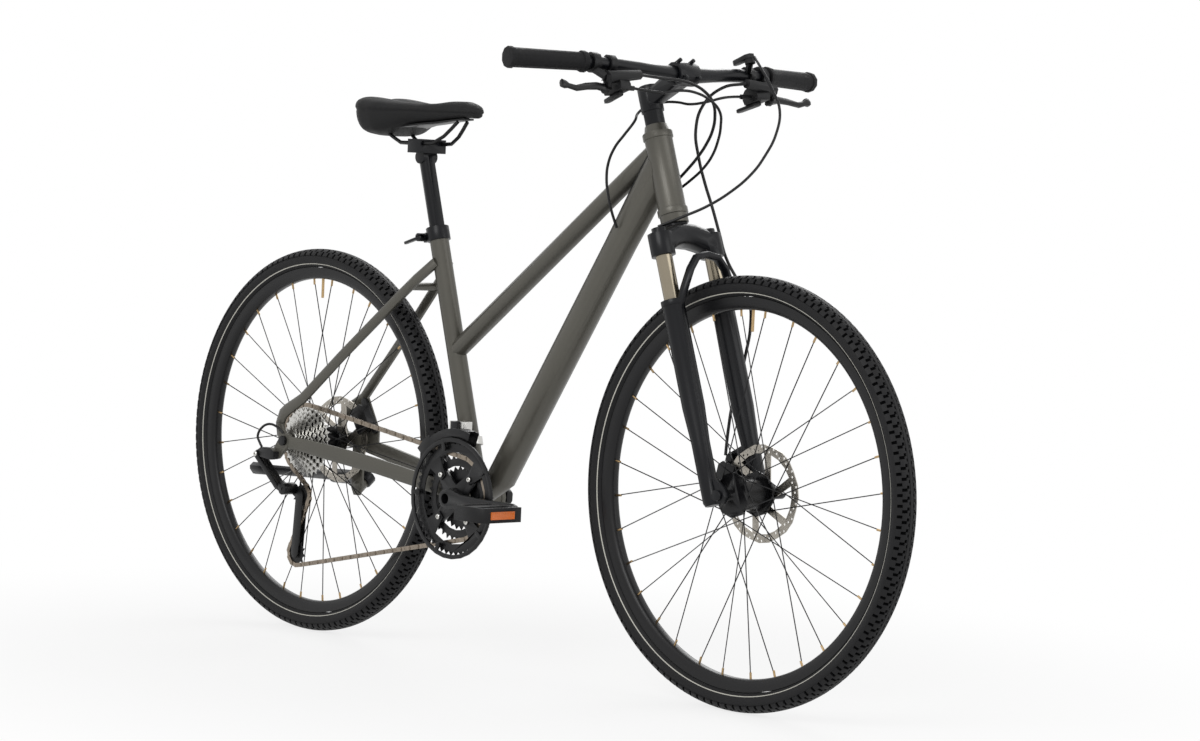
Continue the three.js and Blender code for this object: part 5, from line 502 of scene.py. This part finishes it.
def joined(pieces, name):
    bpy.ops.object.select_all(action="DESELECT")
    for piece in pieces:
        piece.select_set(True)
    bpy.context.view_layer.objects.active = pieces[0]
    bpy.ops.object.join()
    result = bpy.context.object
    result.name = name
    settle(result)
    return result

def repeated(template, places, name):
    """Copies a finished piece to each matrix in a list and joins the copies into one piece."""
    copies = []
    for i, place in enumerate(places):
        mesh = template.data.copy()
        mesh.transform(place)
        copy = bpy.data.objects.new(f"{name}_{i}", mesh)
        bpy.context.scene.collection.objects.link(copy)
        copies.append(copy)
    return joined(copies, name)

def turned_pin(name, radius, length, sides, lip):
    """A pin along +Z from the origin, with a narrowed end, as a lathe would leave it."""
    bpy.ops.mesh.primitive_cylinder_add(vertices=sides, radius=radius, depth=length, location=(0, 0, length / 2))
    piece = bpy.context.object
    piece.name = name
    settle(piece)
    bpy.ops.object.mode_set(mode="EDIT")
    pick(piece, lambda centre, normal: normal.z > 0.9)
    bpy.ops.mesh.inset(thickness=radius * 0.2, depth=radius * 0.2)
    bpy.ops.mesh.inset(thickness=radius * lip, depth=0)
    bpy.ops.mesh.extrude_region_move(TRANSFORM_OT_translate={"value": (0, 0, -radius * 0.5)})
    bpy.ops.object.mode_set(mode="OBJECT")
    bpy.ops.object.shade_smooth_by_angle(angle=math.radians(35))
    return piece

def facing(spot, direction):
    """The matrix that stands a piece made along +Z at a spot, pointing along a direction."""
    turn = Vector((0, 0, 1)).rotation_difference(Vector(direction).normalized())
    return Matrix.Translation(spot) @ turn.to_matrix().to_4x4()

SPOKES, VALVE_ANGLE = 32, math.radians(90)
NIPPLE_REACH, NIPPLE_SIDE, VALVE_REACH = 0.2968, 0.0026, 0.2975
nipple = turned_pin("nipple_pattern", radius=0.0019, length=0.011, sides=8, lip=0.2)
valve = turned_pin("valve_pattern", radius=0.0026, length=0.036, sides=12, lip=0.3)
def wheel_place(hub, angle, radius, side):
    out = Vector((math.cos(angle), 0, math.sin(angle)))
    return facing(Vector(hub) + out * radius + Vector((0, side, 0)), -out)

for end, hub in (("rear", REAR), ("front", FRONT)):
    rim_loop = [(-y, z) for y, z in RIM_OUTSIDE] + [(y, z) for y, z in reversed(RIM_OUTSIDE[:-1])]
    rim_loop += [(y, z) for y, z in RIM_OUTLINE[1:]] + [(-y, z) for y, z in reversed(RIM_OUTLINE[1:-1])]
    rim = outline_object(end + "_rim_turned", rim_loop, closed=True)
    spun(rim, 180)
    bpy.ops.object.mode_set(mode="OBJECT")
    bpy.ops.object.shade_smooth_by_angle(angle=math.radians(30))
    rim.location = hub
    settle(rim)
    keep(rim, end + "_rim_turned", end + "_rim", ANODISED, [end + "_rim"])
    places = [wheel_place(hub, math.tau * (i + 0.5) / SPOKES, NIPPLE_REACH, -NIPPLE_SIDE if i % 2 else NIPPLE_SIDE)
              for i in range(SPOKES)]
    keep(repeated(nipple, places, end + "_nipples"), end + "_nipples", end + "_rim", BRASS)
    valve_place = wheel_place(hub, VALVE_ANGLE, VALVE_REACH, 0)
    keep(repeated(valve, [valve_place], end + "_valve"), end + "_valve", end + "_rim", BRASS)
print("nipples:", len(places) * 2)

# %% [markdown]
# ## Brake rotors
# A rotor is a thin steel plate that is drilled all round, so that it sheds water and heat.
# The holes are real: one long pin is copied round the plate and cut away by a Boolean.

# %% Drill the rotors
HOLES, HOLE_RADIUS, HOLE_REACHES = 54, 0.0019, (0.0693, 0.0727, 0.0761)
bpy.ops.mesh.primitive_cylinder_add(vertices=10, radius=HOLE_RADIUS, depth=0.02)
drill = bpy.context.object
drill.name = "drill_pattern"
for end, hub, metal in (("rear", REAR, REAR_ROTOR), ("front", FRONT, FRONT_ROTOR)):
    node = end + "_brake_rotor"
    plate = copy_of(node, node + "_drilled")
    side = (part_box(node)[0][1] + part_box(node)[1][1]) / 2
    places = []
    for i in range(HOLES):
        angle = math.tau * i / HOLES
        reach = HOLE_REACHES[i % len(HOLE_REACHES)]
        spot = Vector(hub) + Vector((math.cos(angle) * reach, side, math.sin(angle) * reach))
        places.append(facing(spot, (0, 1, 0)))
    drills = repeated(drill, places, end + "_drills")
    cutter = plate.modifiers.new("holes", "BOOLEAN")
    cutter.operation, cutter.object, cutter.solver = "DIFFERENCE", drills, "EXACT"
    apply_all(plate)
    bpy.data.objects.remove(drills)
    only(plate)
    bpy.ops.object.shade_smooth_by_angle(angle=math.radians(35))
    keep(plate, node + "_drilled", node, metal, [node])
    print(end, "rotor faces:", len(plate.data.polygons))

# %% [markdown]
# ## Chain
# A chain is two kinds of link in turn: an inner pair of plates on rollers and an outer pair
# over it. One plate of each kind and one roller are made, then set along the pins' path.
# The pins follow the middle ring, the largest sprocket and the two pulleys.

# %% Make the plates and rollers
PINS = [Vector(map(float, spot.split())) / 1000 for spot in (
    "-71.3 -50.0 217.1, -59.5 -50.0 221.8, -48.7 -50.0 228.4, -39.2 -50.0 236.8, -31.3 -50.0 246.8, "
    "-25.2 -50.0 258.0, -21.2 -50.0 270.0, -19.3 -50.0 282.6, -19.6 -50.0 295.3, -22.2 -50.0 307.7, "
    "-26.8 -50.0 319.5, -33.5 -50.0 330.3, -41.9 -50.0 339.9, -51.8 -50.0 347.8, -63.0 -50.0 353.8, "
    "-75.0 -50.0 357.8, -87.6 -50.0 359.9, -100.2 -50.0 361.4, -112.8 -50.0 363.0, -125.4 -50.0 364.6, "
    "-138.0 -49.1 366.1, -150.6 -48.3 367.7, -163.2 -47.5 369.3, -175.8 -46.7 370.8, -188.4 -45.8 372.4, "
    "-201.0 -45.0 374.0, -213.6 -44.2 375.5, -226.2 -43.4 377.1, -238.8 -42.5 378.7, -251.4 -41.7 380.3, "
    "-264.0 -40.9 381.8, -276.6 -40.1 383.4, -289.2 -39.2 385.0, -301.8 -38.4 386.5, -314.4 -37.6 388.1, "
    "-327.0 -36.8 389.7, -339.6 -35.9 391.2, -352.2 -35.1 392.8, -364.8 -34.3 394.4, -377.4 -33.5 395.9, "
    "-390.0 -32.6 397.5, -402.6 -31.8 399.1, -415.2 -31.0 400.6, -427.8 -30.2 402.2, -440.5 -29.3 403.8, "
    "-453.1 -28.5 405.3, -465.7 -27.7 406.9, -478.3 -26.9 408.5, -490.9 -26.0 410.0, -503.5 -26.0 411.6, "
    "-516.1 -26.0 413.2, -528.7 -26.0 414.8, -541.3 -26.0 415.8, -554.0 -26.0 414.5, -566.1 -26.0 410.7, "
    "-577.3 -26.0 404.7, -587.0 -26.0 396.6, -595.0 -26.0 386.7, -601.0 -26.0 375.5, -604.6 -26.0 363.3, "
    "-605.8 -26.0 350.7, -604.5 -26.0 338.0, -600.7 -26.0 325.9, -594.7 -26.0 314.7, -586.6 -26.0 305.0, "
    "-576.7 -26.0 296.9, -566.4 -26.0 289.6, -556.0 -26.0 282.3, -545.6 -26.0 274.9, -535.3 -26.0 267.6, "
    "-527.2 -26.0 257.8, -525.8 -26.0 245.1, -530.9 -26.0 233.5, -537.1 -26.0 222.4, -543.3 -26.0 211.3, "
    "-549.5 -26.0 200.2, -555.7 -26.0 189.2, -561.9 -26.0 178.1, -568.1 -26.0 167.0, -574.4 -26.0 155.9, "
    "-579.2 -26.0 144.2, -577.3 -26.0 131.6, -569.0 -26.0 122.0, -556.8 -26.0 118.5, -544.2 -26.0 120.6, "
    "-531.8 -26.0 123.2, -519.3 -26.0 125.7, -506.9 -26.3 128.2, -494.4 -27.0 130.8, -482.0 -27.8 133.3, "
    "-469.5 -28.5 135.8, -457.1 -29.3 138.4, -444.6 -30.1 140.9, -432.2 -30.8 143.4, -419.7 -31.6 146.0, "
    "-407.3 -32.4 148.5, -394.9 -33.1 151.0, -382.4 -33.9 153.6, -370.0 -34.6 156.1, -357.5 -35.4 158.6, "
    "-345.1 -36.2 161.2, -332.6 -36.9 163.7, -320.2 -37.7 166.2, -307.7 -38.4 168.8, -295.3 -39.2 171.3, "
    "-282.9 -40.0 173.8, -270.4 -40.7 176.4, -258.0 -41.5 178.9, -245.5 -42.2 181.4, -233.1 -43.0 183.9, "
    "-220.6 -43.8 186.5, -208.2 -44.5 189.0, -195.7 -45.3 191.5, -183.3 -46.0 194.1, -170.8 -46.8 196.6, "
    "-158.4 -47.6 199.1, -146.0 -48.3 201.7, -133.5 -49.1 204.2, -121.1 -49.9 206.7, -108.6 -50.0 209.3, "
    "-96.2 -50.0 211.8, -83.7 -50.0 214.3"
).split(", ")]

PITCH, PLATE_RADIUS, PLATE_THICKNESS = 0.0127, 0.0040, 0.0008
INNER_SIDE, OUTER_SIDE = 0.0015, 0.0024
ROLLER_RADIUS, ROLLER_LENGTH, PIN_RADIUS, PIN_LENGTH = 0.0034, 0.0030, 0.0017, 0.0062

def chain_plate(name, side):
    """A plate with two round ends, a pitch apart along X, standing at a side of the chain."""
    bpy.ops.mesh.primitive_circle_add(vertices=12, radius=PLATE_RADIUS, fill_type="NGON",
                                      rotation=(math.pi / 2, math.radians(15), 0))
    piece = bpy.context.object
    piece.name = name
    settle(piece)
    for vertex in piece.data.vertices:
        if vertex.co.x > 0:
            vertex.co.x += PITCH
    bpy.ops.object.mode_set(mode="EDIT")
    bpy.ops.mesh.select_all(action="SELECT")
    bpy.ops.mesh.extrude_region_move(TRANSFORM_OT_translate={"value": (0, PLATE_THICKNESS, 0)})
    bpy.ops.mesh.select_all(action="SELECT")
    bpy.ops.mesh.normals_make_consistent(inside=False)
    bpy.ops.transform.translate(value=(0, side - PLATE_THICKNESS / 2, 0))
    bpy.ops.object.mode_set(mode="OBJECT")
    return piece

inner = joined([chain_plate("inner_left", INNER_SIDE), chain_plate("inner_right", -INNER_SIDE)], "inner_pattern")
outer = joined([chain_plate("outer_left", OUTER_SIDE), chain_plate("outer_right", -OUTER_SIDE)], "outer_pattern")
across = (math.pi / 2, 0, 0)
bpy.ops.mesh.primitive_cylinder_add(vertices=10, radius=ROLLER_RADIUS, depth=ROLLER_LENGTH, rotation=across)
roller = bpy.context.object
bpy.ops.mesh.primitive_cylinder_add(vertices=8, radius=PIN_RADIUS, depth=PIN_LENGTH, rotation=across)
roller = joined([roller, bpy.context.object], "roller_pattern")

def link_place(here, there):
    along = (there - here).normalized()
    across = Vector((0, 1, 0))
    across = (across - along * across.dot(along)).normalized()
    turn = Matrix((along, across, along.cross(across))).transposed()
    return Matrix.Translation(here) @ turn.to_4x4()

places = [link_place(PINS[i], PINS[(i + 1) % len(PINS)]) for i in range(len(PINS))]
chain = joined([repeated(inner, places[0::2], "inner_links"), repeated(outer, places[1::2], "outer_links"),
                repeated(roller, places, "rollers")], "chain_links")
bpy.ops.object.shade_smooth_by_angle(angle=math.radians(30))
keep(chain, "chain_links", "chain", CHAIN_STEEL, ["chain"])
print("links:", len(PINS), "faces:", len(chain.data.polygons))

# %% [markdown]
# ## Bolts and reflectors
# Bright bolts hold the chainrings and the derailleur's pivots, and each pedal has an amber
# reflector at both ends. They are small, but the eye looks for them on a bicycle.

# %% Set the bolts
RING_BOLTS, BOLT_CIRCLE, RINGS_OUTSIDE, CRANK_ANGLE = 4, 0.052, -0.0596, math.radians(-2)
bolt = turned_pin("bolt_pattern", radius=0.0046, length=0.0022, sides=20, lip=0.35)
ring_bolts = []
for i in range(RING_BOLTS):
    angle = math.tau * (i + 0.5) / RING_BOLTS + CRANK_ANGLE
    spot = CRANK_AXLE + Vector((math.cos(angle), 0, math.sin(angle))) * BOLT_CIRCLE
    ring_bolts.append(facing((spot.x, RINGS_OUTSIDE, spot.z), (0, -1, 0)))
keep(repeated(bolt, ring_bolts, "chainring_bolts"), "chainring_bolts", "chainrings", ALLOY)
low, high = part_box("rear_derailleur_links")
PIVOT_X, PIVOT_Z, BOLT_SUNK = -0.604, 0.322, 0.0004
pivots = [facing((PIVOT_X, low[1] + BOLT_SUNK, PIVOT_Z), (0, -1, 0))]
keep(repeated(bolt, pivots, "derailleur_bolt"), "derailleur_bolt", "rear_derailleur_links", ALLOY)

REFLECTOR_SIZE, REFLECTOR_SIDE, REFLECTOR_END = (0.004, 0.052, 0.013), 0.142, 0.0413

def reflector(name, node):
    """Two amber blocks, let into the front and the back of a pedal."""
    low, high = (Vector(corner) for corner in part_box(node))
    side = REFLECTOR_SIDE if low.y > 0 else -REFLECTOR_SIDE
    blocks = []
    for end in (-1, 1):
        spot = ((low.x + high.x) / 2 + end * REFLECTOR_END, side, (low.z + high.z) / 2)
        bpy.ops.mesh.primitive_cube_add(size=1, location=spot, scale=REFLECTOR_SIZE)
        block = bpy.context.object
        settle(block)
        bpy.ops.object.mode_set(mode="EDIT")
        pick(block, lambda centre, normal: normal.x * end > 0.9)
        bpy.ops.mesh.inset(thickness=0.0012, depth=0)
        bpy.ops.mesh.inset(thickness=0.0004, depth=-0.0006)
        bpy.ops.object.mode_set(mode="OBJECT")
        blocks.append(block)
    return keep(joined(blocks, name), name, node, AMBER)

reflector("right_reflectors", "right_pedal")
reflector("left_reflectors", "left_pedal")
for pattern in (nipple, valve, drill, inner, outer, roller, bolt):
    bpy.data.objects.remove(pattern)
print("bolts:", len(ring_bolts) + len(pivots))

# %% [markdown]
# ## The saddle
# The saddle is foam under a tight black cover. A copy of the solid is remeshed into even
# small faces, relaxed so that the foam looks full, and smoothed by subdivision. A seam
# runs round the side where the top panel meets the skirt, so the faces there sink a little.
# A soft channel runs along the middle of the top, and the skirt hangs lower at the back.

# %% Pad the saddle
saddle = copy_of("saddle_cover", "saddle_padding")
remesh = saddle.modifiers.new("even faces", "REMESH")
remesh.mode, remesh.voxel_size = "VOXEL", 0.004
relax = saddle.modifiers.new("relaxed foam", "SMOOTH")
relax.factor, relax.iterations = 0.5, 10
fine = saddle.modifiers.new("fine skin", "SUBSURF")
fine.levels = fine.render_levels = 1
apply_all(saddle)
low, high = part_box("saddle_cover")

def eased(value, start, end):
    share = min(1, max(0, (value - start) / (end - start)))
    return share * share * (3 - 2 * share)

SEAM_DEPTH, SEAM_HALF, BEAD_HEIGHT, BEAD_HALF, BEAD_ABOVE = 0.0013, 0.0016, 0.0007, 0.0022, 0.0042
CHANNEL_DEPTH, CHANNEL_HALF, SKIRT_DROP = 0.0065, 0.013, 0.013
for vertex in saddle.data.vertices:
    spot = vertex.co
    share = (high[0] - spot.x) / (high[0] - low[0])
    height = (spot.z - low[2]) / (high[2] - low[2])
    seam = low[2] + (high[2] - low[2]) * (0.50 + 0.10 * share)
    groove = math.exp(-((spot.z - seam) / SEAM_HALF) ** 2) * SEAM_DEPTH
    bead = math.exp(-((spot.z - seam - BEAD_ABOVE) / BEAD_HALF) ** 2) * BEAD_HEIGHT
    channel = math.exp(-(spot.y / CHANNEL_HALF) ** 2) * CHANNEL_DEPTH
    channel *= eased(share, 0.25, 0.45) * eased(vertex.normal.z, 0.2, 0.6)
    drop = eased(share, 0.5, 0.8) * (1 - eased(height, 0.1, 0.75)) * SKIRT_DROP
    vertex.co = spot + vertex.normal * (bead - groove) - Vector((0, 0, channel + drop))
only(saddle)
bpy.ops.object.shade_smooth()
keep(saddle, "saddle_padding", "saddle_cover", SKIN, ["saddle_cover"])
print("saddle faces:", len(saddle.data.polygons))

# %% [markdown]
# ## Hoses and cables
# A cable's housing is a fixed length of springy tube held at both ends, so it hangs in one
# smooth curve. Each is a curve through the points of its solid, given its real thickness.
# Where its ends are held by two bodies, it stays where it is laid and rides on neither.

# %% Lay the cables
BENDS = {
    "rear_brake_hose": ("frame", "steering", (0.2768, 0.0289, 0.8072), (0.3907, 0.0471, 0.9558)),
    "rear_shift_cable": ("frame", "steering", (0.2703, 0.0289, 0.7972), (0.4035, 0.0485, 0.9400)),
    "front_shift_cable": ("frame", "steering", (0.2506, -0.0289, 0.7670), (0.3102, 0.0400, 0.9776)),
    "front_brake_hose": ("steering", "fork", (0.3293, 0.0667, 0.9332), (0.4484, 0.0933, 0.6149)),
}
for name, (radius, text) in CABLES.items():
    points = [Vector(map(float, spot.split())) / 1000 for spot in text.split(",")]
    data = bpy.data.curves.new(name + "_line", "CURVE")
    data.dimensions, data.bevel_depth, data.bevel_resolution, data.use_fill_caps = "3D", radius, 4, True
    line = data.splines.new("BEZIER")
    line.bezier_points.add(len(points) - 1)
    for knot, spot in zip(line.bezier_points, points):
        knot.co, knot.handle_left_type, knot.handle_right_type = spot, "AUTO", "AUTO"
    line.resolution_u = 6
    piece = bpy.data.objects.new(name + "_line", data)
    bpy.context.scene.collection.objects.link(piece)
    only(piece)
    bpy.ops.object.convert(target="MESH")
    piece = bpy.context.object
    bpy.ops.object.shade_smooth()
    keep(piece, name + "_line", name, JACKET, [name], BENDS.get(name))
print("cables:", len(CABLES))

# %% [markdown]
# ## Floor and light
# A pale floor and large soft lamps show the shapes without hard shadows. What the camera
# sees behind the bicycle is white, and so is what shiny parts reflect.

# %% Studio
bpy.ops.mesh.primitive_plane_add(size=60)
floor = bpy.context.object
floor.name = "floor"
ground = bpy.data.materials.new("floor")
ground.use_nodes = True
ground.node_tree.nodes["Principled BSDF"].inputs["Base Color"].default_value = (0.9, 0.9, 0.895, 1)
ground.node_tree.nodes["Principled BSDF"].inputs["Roughness"].default_value = 0.9
# The camera sees the floor nearly white: by the wheels it still shows their soft shadow,
# and away from them it is plain white, so it meets the white behind without a line.
tree = ground.node_tree
spot = tree.nodes.new("ShaderNodeNewGeometry").outputs["Position"]
reach = wire(tree, "ShaderNodeVectorMath", {0: spot}, operation="LENGTH").outputs["Value"]
far = wire(tree, "ShaderNodeMapRange", {"Value": reach, "From Min": 0.5, "From Max": 1.6, "To Min": 0.78},
           interpolation_type="SMOOTHSTEP").outputs[0]
rays = tree.nodes.new("ShaderNodeLightPath")
seen_ray = math_node(tree, "MAXIMUM", rays.outputs["Is Camera Ray"], rays.outputs["Is Glossy Ray"])
glow = wire(tree, "ShaderNodeEmission", {"Color": (1, 1, 1, 1), "Strength": 1.0})
blended = wire(tree, "ShaderNodeMixShader", {0: math_node(tree, "MULTIPLY", far, seen_ray),
                                             1: tree.nodes["Principled BSDF"].outputs[0], 2: glow.outputs[0]})
tree.links.new(blended.outputs[0], tree.nodes["Material Output"].inputs["Surface"])
floor.data.materials.append(ground)

def lamp(name, spot, size, power, target=(0, 0, 0.5)):
    bpy.ops.object.light_add(type="AREA", location=spot)
    light = bpy.context.object
    light.name, light.data.size, light.data.energy = name, size, power
    light.rotation_euler = (Vector(target) - Vector(spot)).to_track_quat("-Z", "Y").to_euler()

lamp("key", (1.5, -4.0, 3.2), size=2.5, power=95)
lamp("fill", (4.5, 1.0, 2.2), size=3.0, power=45)
lamp("rim", (-2.0, 3.5, 3.0), size=2.5, power=60)
world = bpy.context.scene.world or bpy.data.worlds.new("studio")
bpy.context.scene.world = world
world.use_nodes = True
sky = world.node_tree
sky.nodes.clear()
path = sky.nodes.new("ShaderNodeLightPath")
seen = math_node(sky, "MAXIMUM", path.outputs["Is Camera Ray"], path.outputs["Is Glossy Ray"])
soft = wire(sky, "ShaderNodeBackground", {"Color": (1, 1, 1, 1), "Strength": 0.42})
white = wire(sky, "ShaderNodeBackground", {"Color": (1, 1, 1, 1), "Strength": 1.0})
both = wire(sky, "ShaderNodeMixShader", {0: seen, 1: soft.outputs[0], 2: white.outputs[0]})
wire(sky, "ShaderNodeOutputWorld", {"Surface": both.outputs[0]})
bpy.context.scene.view_settings.view_transform = "Standard"
